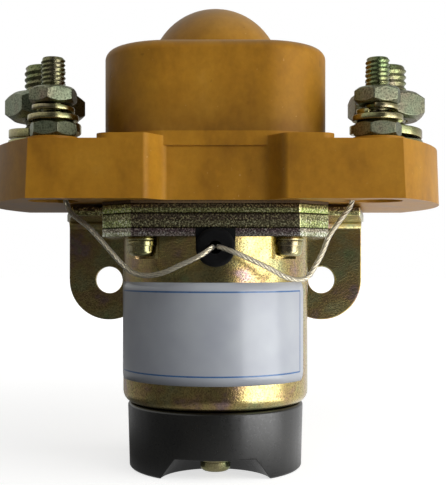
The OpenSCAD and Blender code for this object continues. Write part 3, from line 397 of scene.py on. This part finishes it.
def vinyl_film(name, base):
    mat, tree, body, place = shader(name, base, {
        "Roughness": 0.3, "Coat Weight": 0.4, "Coat Roughness": 0.12})
    # Waves of the glue under it, 8 mm
    wave = add(tree, "TexNoise", {
        "Vector": place, "Scale": 1 / (8 * MM), "Detail": 2, "Roughness": 0.5})
    tint = add(tree, "ValToRGB", {"Fac": wave}, stops=shares(
        base, (0.3, "#f0f0f4"), (0.7, "#ffffff")))
    skin = add(tree, "Bump", {"Height": wave, "Distance": 0.05 * MM, "Strength": 0.3})
    fill(tree, body, {"Base Color": tint, "Normal": skin})
    return mat


def printed_ink(name, base):
    mat, tree, body, place = shader(name, base, {
        "Roughness": 0.3, "Coat Weight": 0.4, "Coat Roughness": 0.12})
    # Uneven ink, 0.8 mm
    ink = add(tree, "TexNoise", {
        "Vector": place, "Scale": 1 / (0.8 * MM), "Detail": 2, "Roughness": 0.5})
    tint = add(tree, "ValToRGB", {"Fac": ink}, stops=shares(
        base, (0.3, "#bfd0df"), (0.7, "#ffffff")))
    fill(tree, body, {"Base Color": tint})
    return mat


def plain_metal(name, base, second, rough):
    mat, tree, body, place = shader(name, base, {"Metallic": 1, "Roughness": rough})
    # Turning or drawing marks round the axis, 0.5 mm wide to show
    marks = add(tree, "Mapping", {"Vector": place, "Scale": (1, 1, 6)})
    marks = add(tree, "TexNoise", {
        "Vector": marks, "Scale": 1 / (0.5 * MM), "Detail": 2, "Roughness": 0.6})
    tint = add(tree, "ValToRGB", {"Fac": marks}, stops=[(0.3, linear(second)), (0.7, base)])
    skin = add(tree, "Bump", {"Height": marks, "Distance": 0.01 * MM, "Strength": 0.4})
    fill(tree, body, {"Base Color": tint, "Normal": skin})
    return mat


def plain_plastic(name, base, second, rough):
    mat, tree, body, place = shader(name, base, {"Roughness": rough})
    # A faint mottle, 1.5 mm
    mottle = add(tree, "TexNoise", {
        "Vector": place, "Scale": 1 / (1.5 * MM), "Detail": 3, "Roughness": 0.5})
    tint = add(tree, "ValToRGB", {"Fac": mottle}, stops=[(0.3, linear(second)), (0.7, base)])
    skin = add(tree, "Bump", {"Height": mottle, "Distance": 0.02 * MM, "Strength": 0.4})
    fill(tree, body, {"Base Color": tint, "Normal": skin})
    return mat


def enamelled_wire(name, base):
    mat, tree, body, place = shader(name, base, {
        "Metallic": 0.7, "Roughness": 0.3, "Coat Weight": 0.5})
    # Turns of wire 0.314 mm apart along the axis; at a scale of 1 the bands are tau / 20 apart
    turns = add(tree, "TexWave", {
        "Vector": place, "Scale": math.tau / 20 / (0.31416 * MM), "Distortion": 0.3}, "Fac",
        bands_direction="Z")
    # Painted shade: darker in the grooves between the turns
    tint = add(tree, "ValToRGB", {"Fac": turns}, stops=[(0.1, linear("#4a1e0e")), (0.7, base)])
    skin = add(tree, "Bump", {"Height": turns, "Distance": 0.1 * MM, "Strength": 0.6})
    fill(tree, body, {"Base Color": tint, "Normal": skin})
    return mat


def clear_vinyl(name, base):
    mat, tree, body, place = shader(name, base, {
        "Roughness": 0.1, "IOR": 1.35, "Transmission Weight": 0.88})
    # Haze in patches of 3 mm
    haze = add(tree, "TexNoise", {
        "Vector": place, "Scale": 1 / (3 * MM), "Detail": 2, "Roughness": 0.5})
    tint = add(tree, "ValToRGB", {"Fac": haze}, stops=[(0.3, linear("#eeeadc")), (0.7, base)])
    fill(tree, body, {"Base Color": tint})
    return mat


# Each finish: how it is made, its colour or the name of its colour above, and its own values
MATERIALS = {
    # Glass-filled polyester, compression moulded: satin, cloudy where the flow met, pale flecks
    "moulded_polyester": (moulded_polyester, "moulding"),
    # Zinc chromate on drawn and pressed sheet: gold to olive, with green and rose interference
    "yellow_zinc": (chromated_zinc, "zinc", (
        (0.25, "#ddffe5"), (0.4, "#f8fce5"), (0.5, "#fff7cf"), (0.6, "#f8e3cf"),
        (0.7, "#e7d1ff"), (0.8, "#e5f5dc")), 0.17, 0.7, 0.08 * MM),
    # Plates cut by a punch and plated: the torn half of each edge glints, the other is smooth;
    # painted glints and painted shadows in the gaps are in the colour
    "sheared_zinc": (sheared_zinc, "sheared", (1.3, 1.35, 1.35)),
    # The same on the cut-off corners, brighter and greener: a painted highlight
    "corner_zinc": (sheared_zinc, "sheared", (2.1, 2.8, 2.0)),
    # Clear-passivated zinc on cold-headed nuts: matt grey with a straw cast
    "pale_zinc": (chromated_zinc, "nuts", (
        (0.3, "#ddf2f4"), (0.45, "#f0ffff"), (0.6, "#f9f9fb"), (0.75, "#ffe3f4")),
        0.36, 0.8, 0.1 * MM),
    # The same on turned washers and screw heads, smoother and yellower
    "bright_zinc": (chromated_zinc, "washers", (
        (0.3, "#e2fcf8"), (0.5, "#fffff8"), (0.7, "#ede6ff")), 0.2, 0.4, 0.02 * MM),
    # The same on rolled threads, thicker in the roots and greener
    "thread_zinc": (chromated_zinc, "threads", (
        (0.3, "#f2ffff"), (0.5, "#ffe7ee"), (0.7, "#e8bbf7")), 0.26, 0.9, 0.05 * MM),
    # Nylon moulded in a spark-textured tool: satin black
    "moulded_nylon": (moulded_nylon, "plastic"),
    # Moulded neoprene: matt black with a dusty bloom
    "moulded_neoprene": (moulded_neoprene, "#0e0e0f"),
    # Vulcanised fibre, punched: dark brown with a matt, fibrous edge
    "punched_fibre": (punched_fibre, "#66502f"),
    # White vinyl under a clear overlaminate: smooth, with a soft gloss
    "vinyl_film": (vinyl_film, "label"),
    # The printed line, under the same overlaminate
    "printed_ink": (printed_ink, "border"),
    # Tinned copper strands, bright with dull patches. The real ones are 0.2 mm thick at most:
    # three of 0.5 mm are drawn, so that their twist shows.
    "tinned_strands": (plain_metal, "#f0ead8", "#b8b09c", 0.32),
    # Thin-walled clear vinyl sleeve, extruded, slightly yellowed
    "clear_vinyl": (clear_vinyl, "#fbf9f2"),
    # Coil of enamelled copper wire, wound tight: glossy red-brown ridges
    "enamelled_wire": (enamelled_wire, "#b0602c"),
    # Turned and drawn brass, dull gold
    "turned_brass": (plain_metal, "#b99a4c", "#9c7e38", 0.3),
    # Rolled copper sheet, slightly browned
    "rolled_copper": (plain_metal, "#c07a4c", "#9a5a36", 0.34),
    # Sintered silver alloy, matt white metal
    "sintered_silver": (plain_metal, "#cfcfcb", "#a9a9a4", 0.4),
    # Ground soft iron and spring steel, plain grey
    "ground_steel": (plain_metal, "#9a9ca0", "#74777c", 0.3),
    # Natural nylon, moulded, waxy white
    "natural_nylon": (plain_plastic, "#d3cdb8", "#bfb89f", 0.5),
    # Phenolic resin, moulded, dark red-brown and glossy
    "phenolic_resin": (plain_plastic, "#6b2a1c", "#4e1c12", 0.35),
}


def finish(name):
    """The material of that name, made the first time it is asked for."""
    made = bpy.data.materials.get(name)
    if made is None:
        maker, key, *values = MATERIALS[name]
        colours = bpy.context.scene.contactor_colours
        base = linear(key) if key.startswith("#") else getattr(colours, key)
        made = maker(name, base, *values)
    return made


# Shapes

def piece(name, bm, finishes, node, edge=0, sharp=35, body="base"):
    """Turns a bmesh into a piece that rides on a body and stands for a CAD node.

    An edge is the width to which corners sharper than sharp degrees are rounded.
    """
    mesh = bpy.data.meshes.new(name)
    bm.to_mesh(mesh)
    bm.free()
    made = bpy.data.objects.new(name, mesh)
    bpy.context.scene.collection.objects.link(made)
    for key in finishes:
        mesh.materials.append(finish(key))
    mesh.shade_smooth()
    if edge:
        rounded = made.modifiers.new("edges", "BEVEL")
        rounded.width = edge
        rounded.segments = 2
        rounded.limit_method = "ANGLE"
        rounded.angle_limit = math.radians(sharp)
        weighted = made.modifiers.new("shading", "WEIGHTED_NORMAL")
        weighted.mode = "FACE_AREA_WITH_ANGLE"
    else:
        mesh.set_sharp_from_angle(angle=math.radians(sharp))
    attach(made, body)
    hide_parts(node)
    return made


def merged(node):
    """A merged copy of a CAD node, its flat faces joined."""
    bm = bmesh.new()
    bm.from_mesh(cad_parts[node].data)
    bmesh.ops.remove_doubles(bm, verts=bm.verts, dist=1e-6)
    bmesh.ops.dissolve_limit(bm, angle_limit=math.radians(0.4), verts=bm.verts, edges=bm.edges)
    return bm


def softened(node, key, edge):
    """A CAD node's own shape with its edges rounded, in its finish."""
    return piece(node + "_piece", merged(node), [key], node, edge)


def dress(node, key):
    """Gives a CAD node that keeps its shape its finish."""
    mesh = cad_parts[node].data
    mesh.materials.clear()
    mesh.materials.append(finish(key))


def close_up(bm):
    """Merges doubles, then turns the faces outwards."""
    bmesh.ops.remove_doubles(bm, verts=bm.verts, dist=2e-7)
    bmesh.ops.recalc_face_normals(bm, faces=bm.faces)


def thread(bm, centre, radius, pitch, low, high, chamfer):
    """A threaded rod: the thread's profile turned once while it climbs by one pitch."""
    line = []
    for turn in range(int((high - low) / pitch) + 3):
        for step, inwards in PROFILE:
            line.append(bm.verts.new((
                centre.x + radius - inwards * THREAD_DEPTH * pitch, centre.y,
                low + (turn + step - 1.5) * pitch)))
    edges = [bm.edges.new(pair) for pair in zip(line, line[1:])]
    steps = 40
    # The profile ends one pitch up, on its own next turn, and the doubles there are merged
    bmesh.ops.spin(bm, geom=line + edges, cent=(centre.x, centre.y, 0), axis=(0, 0, 1),
                   dvec=(0, 0, pitch / steps), angle=math.tau, steps=steps, use_merge=False)
    bmesh.ops.remove_doubles(bm, verts=bm.verts, dist=2e-6)
    for height, up in ((low, -1), (high, 1)):
        cut = bmesh.ops.bisect_plane(
            bm, geom=bm.verts[:] + bm.edges[:] + bm.faces[:], dist=1e-8,
            plane_co=(0, 0, height), plane_no=(0, 0, up), clear_outer=True)["geom_cut"]
        rim = [e for e in cut if isinstance(e, bmesh.types.BMEdge)]
        bmesh.ops.contextual_create(bm, geom=rim)
    for v in bm.verts:
        limit = radius - max(0, v.co.z - (high - chamfer))
        flat = Vector((v.co.x - centre.x, v.co.y - centre.y))
        if flat.length > limit:
            flat *= limit / flat.length
            v.co.x, v.co.y = centre.x + flat.x, centre.y + flat.y
    close_up(bm)


def hex_nut(bm, centre, flats, bore, low, high, turn):
    """A chamfered hexagon nut, drawn ring by ring from its bore round to its bore again."""
    # The flat ring of each end reaches nine tenths of the way to the flats
    circle = flats / 2 * 0.9
    slope = math.tan(math.radians(37))
    mouth, mouth_depth = bore + 0.45 * MM, 0.5 * MM

    def hexagon(angle):
        off = angle % (math.pi / 3) - math.pi / 6
        return flats / 2 / math.cos(off)

    def drop(angle):
        return max(0, hexagon(angle) - circle) * slope

    # The radius and the height of each ring, at an angle round the nut
    rings = [
        (lambda a: mouth, lambda a: low),
        (lambda a: circle, lambda a: low),
        (hexagon, lambda a: low + drop(a)),
        (hexagon, lambda a: high - drop(a)),
        (lambda a: circle, lambda a: high),
        (lambda a: mouth, lambda a: high),
        (lambda a: bore, lambda a: high - mouth_depth),
        (lambda a: bore, lambda a: low + mouth_depth),
    ]
    verts = bmesh.ops.create_circle(bm, cap_ends=False, radius=bore, segments=96)["verts"]
    edges = first = list({e for v in verts for e in v.link_edges})
    for number, (radius, height) in enumerate(rings):
        if number:
            made = bmesh.ops.extrude_edge_only(bm, edges=edges)["geom"]
            edges = [g for g in made if isinstance(g, bmesh.types.BMEdge)
                     and all(v in made for v in g.verts) and len(g.link_faces) == 1]
        for v in {v for e in edges for v in e.verts}:
            angle = math.atan2(v.co.y, v.co.x)
            v.co = (radius(angle) * math.cos(angle), radius(angle) * math.sin(angle),
                    height(angle))
    bmesh.ops.bridge_loops(bm, edges=first + edges)
    bmesh.ops.rotate(bm, verts=bm.verts, matrix=Matrix.Rotation(math.radians(turn), 3, "Z"))
    bmesh.ops.translate(bm, verts=bm.verts, vec=(centre.x, centre.y, 0))
    close_up(bm)


def route_points(points):
    """A lead's smooth curve through its route's points, in four steps from one to the next."""
    pts = [AXIS + Vector(p) * MM for p in points]
    out = []
    for i in range(len(pts) - 1):
        p0, p1, p2, p3 = (pts[max(i - 1, 0)], pts[i], pts[i + 1], pts[min(i + 2, len(pts) - 1)])
        for t in (0, 0.25, 0.5, 0.75):
            out.append(0.5 * (2 * p1 + (p2 - p0) * t + (2 * p0 - 5 * p1 + 4 * p2 - p3) * t * t
                              + (3 * p1 - p0 - 3 * p2 + p3) * t ** 3))
    return out + [pts[-1]]


def frames_along(points):
    """A frame at each point that turns as little as it can from one to the next."""
    frames = []
    side = Vector((0, 1, 0.3)).normalized()
    for i, p in enumerate(points):
        ahead = (points[min(i + 1, len(points) - 1)] - points[max(i - 1, 0)]).normalized()
        side = (side - side.dot(ahead) * ahead).normalized()
        frames.append((p, side, ahead.cross(side)))
    return frames


def tube(bm, frames, radius, sides, offset=0, turn_per_m=0, phase=0):
    """Sweeps a circle along frames; an offset makes it a strand that winds round them."""
    rings = []
    run = 0
    for i, (p, u, v) in enumerate(frames):
        run += (p - frames[i - 1][0]).length if i else 0
        a = phase + run * turn_per_m
        middle = p + offset * (math.cos(a) * u + math.sin(a) * v)
        ring = bmesh.ops.create_circle(bm, cap_ends=False, radius=radius, segments=sides)["verts"]
        for k, w in enumerate(ring):
            b = math.tau * k / sides
            w.co = middle + radius * (math.cos(b) * u + math.sin(b) * v)
        rings.append(list({e for w in ring for e in w.link_edges}))
    for one, two in zip(rings, rings[1:]):
        bmesh.ops.bridge_loops(bm, edges=one + two)
    for rim in (rings[0], rings[-1]):
        bmesh.ops.contextual_create(bm, geom=rim)


# Pieces

class CONTACTOR_OT_stage(bpy.types.Operator):
    """Camera, floor, backdrop and soft studio light"""
    bl_idname = "contactor.stage"
    bl_label = "Stage"

    def execute(self, context):
        scene = context.scene
        data = bpy.data.cameras.new("view")
        data.sensor_width = 36
        data.lens = FOCAL / FRAME_SIDE * data.sensor_width
        # The can's axis stands 7.6 pixels left of the middle, and the lens's level 21.5 below it
        data.shift_x = 7.6 / FRAME_SIDE
        data.shift_y = 21.5 / FRAME_SIDE
        data.clip_start = 0.01
        camera = bpy.data.objects.new("view", data)
        # 240 mm in front of the can's axis, at the height where the level circles look flat
        camera.location = (0, -0.270, 0.0045)
        camera.rotation_euler = (math.radians(90), 0, 0)
        scene.collection.objects.link(camera)
        scene.camera = camera

        bm = bmesh.new()
        bmesh.ops.create_circle(bm, cap_ends=True, radius=3, segments=64)
        bmesh.ops.translate(bm, verts=bm.verts, vec=(0, 0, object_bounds()[0][2]))
        mesh = bpy.data.meshes.new("floor")
        bm.to_mesh(mesh)
        bm.free()
        mesh.materials.append(self.paper())
        floor = bpy.data.objects.new("floor", mesh)
        scene.collection.objects.link(floor)
        floor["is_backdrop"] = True

        for name, place, wide, tall, power in (
                ("key", (0.74, -0.36, 0.26), 0.9, 0.7, 5.8),
                ("top", (0.1, -0.75, 0.65), 0.7, 0.5, 1.4)):
            lamp = bpy.data.lights.new(name, "AREA")
            lamp.shape = "RECTANGLE"
            lamp.size = wide
            lamp.size_y = tall
            lamp.energy = power
            made = bpy.data.objects.new(name, lamp)
            made.location = place
            aim = Vector((0, -0.03, 0.01)) - Vector(place)
            made.rotation_euler = aim.to_track_quat("-Z", "Y").to_euler()
            made.visible_glossy = False   # the world shows its face to metal and gloss
            scene.collection.objects.link(made)

        scene.world = self.studio()
        scene.view_settings.view_transform = "Standard"
        return {"FINISHED"}

    def studio(self):
        """The world: what metal and gloss mirror, a dim light for the rest, and a white view."""
        world = bpy.data.worlds.new("studio")
        world.use_nodes = True
        tree = world.node_tree
        way = add(tree, "TexCoord", out="Generated")
        level = self.surroundings(tree, way)
        # From 5 degrees above the level the room is lit more evenly
        height = add(tree, "SeparateXYZ", {"Vector": way}, "Z")
        height = add(tree, "MapRange", {
            "Value": height, "From Min": 0.09, "From Max": 0.14, "To Max": 0.95})
        turn = add(tree, "TexGradient", {"Vector": way}, "Fac", gradient_type="RADIAL")
        above = add(tree, "ValToRGB", {"Fac": turn}, stops=shares(
            WHITE, (0, "#d8d8d4"), (0.15, "#b4b4b0"), (0.24, "#505050"), (0.31, "#505050"),
            (0.34, "#e8e8e4"), (0.37, "#e8e8e4"), (0.42, "#9c9c98"), (0.5, "#9c9c98"),
            (0.75, "#d8d8d4"), (1, "#d8d8d4")))
        level = add(tree, "Mix", {FACTOR: height, UNDER: level, OVER: above}, MIXED, **BLEND)
        # The lamps' own light stands for it on everything but metal and gloss
        glossy = add(tree, "LightPath", out="Is Glossy Ray")
        level = add(tree, "Mix", {
            FACTOR: glossy, UNDER: (0.19, 0.19, 0.19), OVER: level}, MIXED, **BLEND)
        seen = add(tree, "LightPath", out="Is Camera Ray")
        level = add(tree, "Mix", {FACTOR: seen, UNDER: level, OVER: WHITE}, MIXED, **BLEND)
        fill(tree, tree.nodes["Background"], {"Color": level})
        return world

    def surroundings(self, tree, way):
        """Light level round the object, from the left past the front, the right and the back.

        A dark room in front, the lamp's face and a bright wall to the right, white paper behind.
        """
        turn = add(tree, "TexGradient", {"Vector": way}, "Fac", gradient_type="RADIAL")
        level = add(tree, "ValToRGB", {"Fac": turn}, stops=shares(
            WHITE, (0, "#8c8c8c"), (0.03, "#404040"), (0.13, "#303030"), (0.18, "#585048"),
            (0.22, "#303030"), (0.3, "#383838"), (0.34, "#ffffff"), (0.46, "#ffffff"),
            (0.49, "#f0f0f0"), (0.71, "#f0f0f0"), (0.79, "#7c7c7c"), (0.88, "#989898"),
            (1, "#8c8c8c")))
        # The lamp's face is four times as bright as white
        face = add(tree, "MapRange", {
            "Value": level, "From Min": 0.92, "From Max": 1, "To Min": 1, "To Max": 4})
        return add(tree, "Mix", {FACTOR: 1, UNDER: level, OVER: face}, MIXED, **MULTIPLY)

    def paper(self):
        """Matt white paper that glows with painted light: in mirrors a painted room and a painted
        pool of light from the right, to matt surfaces a painted glow that grows to the right. In
        the light that it sends back it is a darker grey than it looks.
        """
        white = linear("#dededc")
        mat, tree, body, place = shader("background_paper", white, {
            "Roughness": 0.95, "Emission Strength": 1})
        seen = add(tree, "LightPath", out="Is Camera Ray")
        glossy = add(tree, "LightPath", out="Is Glossy Ray")
        tint = add(tree, "Mix", {
            FACTOR: seen, UNDER: linear("#606060"), OVER: white}, MIXED, **BLEND)
        from_axis = add(tree, "VectorMath", {0: place, 1: AXIS}, operation="SUBTRACT")
        far = add(tree, "VectorMath", {0: from_axis}, "Value", operation="LENGTH")
        across = add(tree, "SeparateXYZ", {"Vector": place}, "X")
        depth = add(tree, "SeparateXYZ", {"Vector": place}, "Y")
        # In mirrors it glows with a painted image of the room round it, and under the object with
        # a painted pool of light from the right
        level = self.surroundings(tree, from_axis)
        under = add(tree, "MapRange", {
            "Value": far, "From Min": 0.068, "From Max": 0.09, "To Min": 1, "To Max": 0})
        painted_floor_light = add(tree, "MapRange", {
            "Value": across, "From Min": -0.03, "From Max": 0.03, "To Min": 0.05, "To Max": 1.2})
        level = add(tree, "Mix", {FACTOR: under, UNDER: level, OVER: painted_floor_light}, MIXED, **BLEND)
        # Painted shade: far to the left, and in front but for the right, it glows less
        left = add(tree, "MapRange", {
            "Value": across, "From Min": -0.2, "From Max": -0.12, "To Min": 0.3, "To Max": 1})
        level = add(tree, "Mix", {FACTOR: 1, UNDER: level, OVER: left}, MIXED, **MULTIPLY)
        right = add(tree, "MapRange", {"Value": across, "From Min": 0.02, "From Max": 0.08})
        front = add(tree, "MapRange", {
            "Value": depth, "From Min": -0.06, "From Max": 0.04, "To Min": 0.4, "To Max": 1})
        front = add(tree, "Mix", {FACTOR: right, UNDER: front, OVER: WHITE}, MIXED, **BLEND)
        level = add(tree, "Mix", {FACTOR: 1, UNDER: level, OVER: front}, MIXED, **MULTIPLY)
        # Painted glow: what it sends up to matt surfaces grows to the right
        painted_floor_glow = add(tree, "MapRange", {
            "Value": across, "From Min": 0.01, "From Max": 0.07, "To Max": 0.8})
        level = add(tree, "Mix", {FACTOR: glossy, UNDER: painted_floor_glow, OVER: level}, MIXED, **BLEND)
        open_floor = add(tree, "MapRange", {
            "Value": far, "From Min": 0.15, "From Max": 0.6, "To Min": 0.68, "To Max": 1})
        level = add(tree, "Mix", {FACTOR: seen, UNDER: level, OVER: open_floor}, MIXED, **BLEND)
        fill(tree, body, {"Base Color": tint, "Emission Color": level})
        return mat


class CONTACTOR_OT_leads(bpy.types.Operator):
    """Two leads of tinned strands in clear sleeves, from the grommet to the coil studs"""
    bl_idname = "contactor.leads"
    bl_label = "Leads"

    def execute(self, context):
        sizes = context.scene.contactor_sizes
        width = sizes.lead_width
        for side, _ in SIDES:
            frames = frames_along(route_points(ROUTES[side]))
            bm = bmesh.new()
            for strand in range(STRANDS):
                tube(bm, frames, width * STRAND_RADIUS, 8, offset=width * STRAND_OFFSET,
                     turn_per_m=math.tau / sizes.lead_twist, phase=math.tau * strand / STRANDS)
            strands = set(bm.faces)
            tube(bm, frames, width / 2, 16)
            for face in bm.faces:
                face.material_index = 0 if face in strands else 1
            close_up(bm)
            piece("lead_" + side + "_piece", bm, ["tinned_strands", "clear_vinyl"],
                  "lead_" + side, sharp=60)
        return {"FINISHED"}


class CONTACTOR_OT_housing(bpy.types.Operator):
    """Ochre contact housing and its gasket"""
    bl_idname = "contactor.housing"
    bl_label = "Housing"

    def execute(self, context):
        softened("housing", "moulded_polyester",
                 context.scene.contactor_sizes.moulded_edge)
        dress("insulating_gasket", "punched_fibre")
        return {"FINISHED"}


class CONTACTOR_OT_frame(bpy.types.Operator):
    """Mounting bracket, yoke plate and the drawn can with its flange"""
    bl_idname = "contactor.frame"
    bl_label = "Bracket, plate and can"

    def execute(self, context):
        edge = context.scene.contactor_sizes.sheet_edge
        # Cut edges stand upright, beside the can and above its flange's underside, but for the
        # bracket's bend at the back
        foot = LEVEL["yoke_plate"][0] - FLANGE - 0.05 * MM
        back = 25.5 * MM
        for node in ("mounting_bracket", "yoke_plate", "magnet_can"):
            bm = merged(node)
            for face in bm.faces:
                middle = face.calc_center_median() - AXIS
                upright = abs(face.normal.z) < 0.2 and middle.z > foot and middle.y < back
                if upright and Vector((middle.x, middle.y)).length > CAN_RADIUS + 0.1 * MM:
                    # Slanted cut corners take the copy with a painted highlight
                    slanted = 0.3 < abs(face.normal.x) < 0.9 and face.normal.y < 0
                    face.material_index = 2 if slanted else 1
            piece(node + "_piece", bm, ["yellow_zinc", "sheared_zinc", "corner_zinc"],
                  node, edge)
        softened("grommet", "moulded_neoprene", 0.15 * MM)
        return {"FINISHED"}


class CONTACTOR_OT_label(bpy.types.Operator):
    """Blank white label with a thin blue line, bent round the can"""
    bl_idname = "contactor.label"
    bl_label = "Label"

    def execute(self, context):
        sizes = context.scene.contactor_sizes
        low, high = LEVEL["label"]
        width = LABEL_RADIUS * math.radians(LABEL_SPAN[1] - LABEL_SPAN[0])
        bm = bmesh.new()
        bmesh.ops.create_grid(bm, x_segments=1, y_segments=1, size=0.5)
        bmesh.ops.scale(bm, verts=bm.verts, vec=(width, high - low, 1))
        bmesh.ops.bevel(bm, geom=bm.verts[:], offset=sizes.label_corner, affect="VERTICES",
                        segments=8, profile=0.5, material=-1)
        bm.normal_update()
        for step in (sizes.label_margin, sizes.label_border):
            inner = [f for f in bm.faces if len(f.verts) > 4]
            line = bmesh.ops.inset_region(bm, faces=inner, thickness=step,
                                          use_boundary=True)["faces"]
        for f in line:
            f.material_index = 1
        # Cuts 1 mm apart let it bend
        x = -width / 2 + 1 * MM
        while x < width / 2:
            bmesh.ops.bisect_plane(bm, geom=bm.verts[:] + bm.edges[:] + bm.faces[:], dist=1e-7,
                                   plane_co=(x, 0, 0), plane_no=(1, 0, 0))
            x += 1 * MM
        middle = math.radians(sum(LABEL_SPAN) / 2)
        for v in bm.verts:
            a = middle + v.co.x / LABEL_RADIUS
            v.co = (AXIS.x + LABEL_RADIUS * math.sin(a), AXIS.y - LABEL_RADIUS * math.cos(a),
                    (low + high) / 2 + v.co.y)
        bmesh.ops.recalc_face_normals(bm, faces=bm.faces)
        for f in bm.faces:
            if f.normal.dot(f.calc_center_median() - AXIS) < 0:
                f.normal_flip()
        made = piece("label_piece", bm, ["vinyl_film", "printed_ink"], "label",
                     sharp=60)
        wall = made.modifiers.new("thickness", "SOLIDIFY")
        wall.thickness = LABEL_FILM
        wall.offset = 1
        return {"FINISHED"}


class CONTACTOR_OT_cap(bpy.types.Operator):
    """Black end cap, its screws and their spring washers"""
    bl_idname = "contactor.cap"
    bl_label = "End cap"

    def execute(self, context):
        softened("end_cap", "moulded_nylon",
                 context.scene.contactor_sizes.moulded_edge)
        for node in ("cap_screws", "cap_spring_washers"):
            softened(node, "bright_zinc", 0.15 * MM)
        return {"FINISHED"}


class CONTACTOR_OT_frame_screws(bpy.types.Operator):
    """Screws and washers that hold the plates to the housing"""
    bl_idname = "contactor.frame_screws"
    bl_label = "Frame screws"

    def execute(self, context):
        for node, edge in (("frame_screws", 0.9 * MM), ("frame_spring_washers", 0.45 * MM),
                           ("frame_flat_washers", 0.4 * MM)):
            softened(node, "bright_zinc", edge)
        return {"FINISHED"}


class CONTACTOR_OT_terminals(bpy.types.Operator):
    """Threaded studs with their nuts and washers"""
    bl_idname = "contactor.terminals"
    bl_label = "Terminals"

    def execute(self, context):
        sizes = context.scene.contactor_sizes
        for side, sign in SIDES:
            for kind, pitch, flats in (("main", sizes.main_pitch, sizes.main_flats),
                                       ("coil", sizes.coil_pitch, sizes.coil_flats)):
                place, radius, chamfer = STUDS[kind]
                centre = AXIS + Vector((sign * place.x, place.y, 0))
                stud = kind + "_stud_" + side
                bm = bmesh.new()
                thread(bm, centre, radius, pitch, THREAD_FOOT, LEVEL[stud][1], chamfer)
                piece(stud + "_thread", bm, ["thread_zinc"], stud, sharp=70)
                for nut in [n for n in NUT_TURNS if n.startswith(kind) and n.endswith(side)]:
                    bm = bmesh.new()
                    hex_nut(bm, centre, flats, radius, *LEVEL[nut], NUT_TURNS[nut])
                    piece(nut + "_piece", bm, ["pale_zinc"], nut,
                          edge=0.12 * MM, sharp=33)
                turn = math.radians(WASHER_TURNS[kind + "_" + side])
                for part in ("flat", "spring"):
                    washer = kind + "_" + part + "_washer_" + side
                    bm = merged(washer)
                    bmesh.ops.rotate(bm, verts=bm.verts, cent=centre,
                                     matrix=Matrix.Rotation(turn, 3, "Z"))
                    piece(washer + "_piece", bm, ["bright_zinc"], washer,
                          edge=0.3 * MM, sharp=40)
        return {"FINISHED"}


class CONTACTOR_OT_works(bpy.types.Operator):
    """Coil, plunger, springs and contacts inside"""
    bl_idname = "contactor.works"
    bl_label = "Works inside"

    def execute(self, context):
        for key, nodes in (
                ("turned_brass", "threaded_inserts guide_tube"),
                ("rolled_copper", "contact_strap_left contact_strap_right contact_bridge"),
                ("enamelled_wire", "coil_winding"),
                ("sintered_silver", "fixed_tip_left fixed_tip_right bridge_tips lead_lug_left"
                                    " lead_lug_right"),
                ("ground_steel", "fixed_core plunger plunger_rod spring_retainer rod_nut"),
                ("natural_nylon", "bobbin stop_washer"),
                ("phenolic_resin", "insulating_bush")):
            for node in nodes.split():
                dress(node, key)
        # Each spring rides on its body and gets its own copy of its mesh; its joint, seat and
        # travel are listed but not used
        for node, body, joint, seat, travel in (
                ("return_spring", "base", "plunger_slide", 0, 5.6 * MM),
                ("contact_spring", "plunger_group", "bridge_slide", 1, 1.4 * MM)):
            coil = piece(node + "_piece", merged(node), ["ground_steel"], node, body=body)
            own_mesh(coil)
        return {"FINISHED"}


class VIEW3D_PT_contactor(bpy.types.Panel):
    """Sizes, colours and pieces of the contactor"""
    bl_label = "Contactor"
    bl_space_type = "VIEW_3D"
    bl_region_type = "UI"
    bl_category = "Contactor"

    def draw(self, context):
        for group in (context.scene.contactor_sizes, context.scene.contactor_colours):
            box = self.layout.box()
            for key in group.bl_rna.properties.keys():
                if key not in ("rna_type", "name"):
                    box.prop(group, key)
        for operator in OPERATORS:
            self.layout.operator(operator.bl_idname)


OPERATORS = (CONTACTOR_OT_stage, CONTACTOR_OT_leads, CONTACTOR_OT_housing, CONTACTOR_OT_frame,
             CONTACTOR_OT_label, CONTACTOR_OT_cap, CONTACTOR_OT_frame_screws,
             CONTACTOR_OT_terminals, CONTACTOR_OT_works)
CLASSES = (ContactorSizes, ContactorColours, *OPERATORS, VIEW3D_PT_contactor)


def register():
    for cls in CLASSES:
        bpy.utils.register_class(cls)
    bpy.types.Scene.contactor_sizes = bpy.props.PointerProperty(type=ContactorSizes)
    bpy.types.Scene.contactor_colours = bpy.props.PointerProperty(type=ContactorColours)


def unregister():
    del bpy.types.Scene.contactor_colours
    del bpy.types.Scene.contactor_sizes
    for cls in reversed(CLASSES):
        bpy.utils.unregister_class(cls)


def main():
    register()
    for operator in OPERATORS:
        getattr(bpy.ops.contactor, operator.bl_idname.split(".")[1])()


if __name__ == "__main__":
    main()
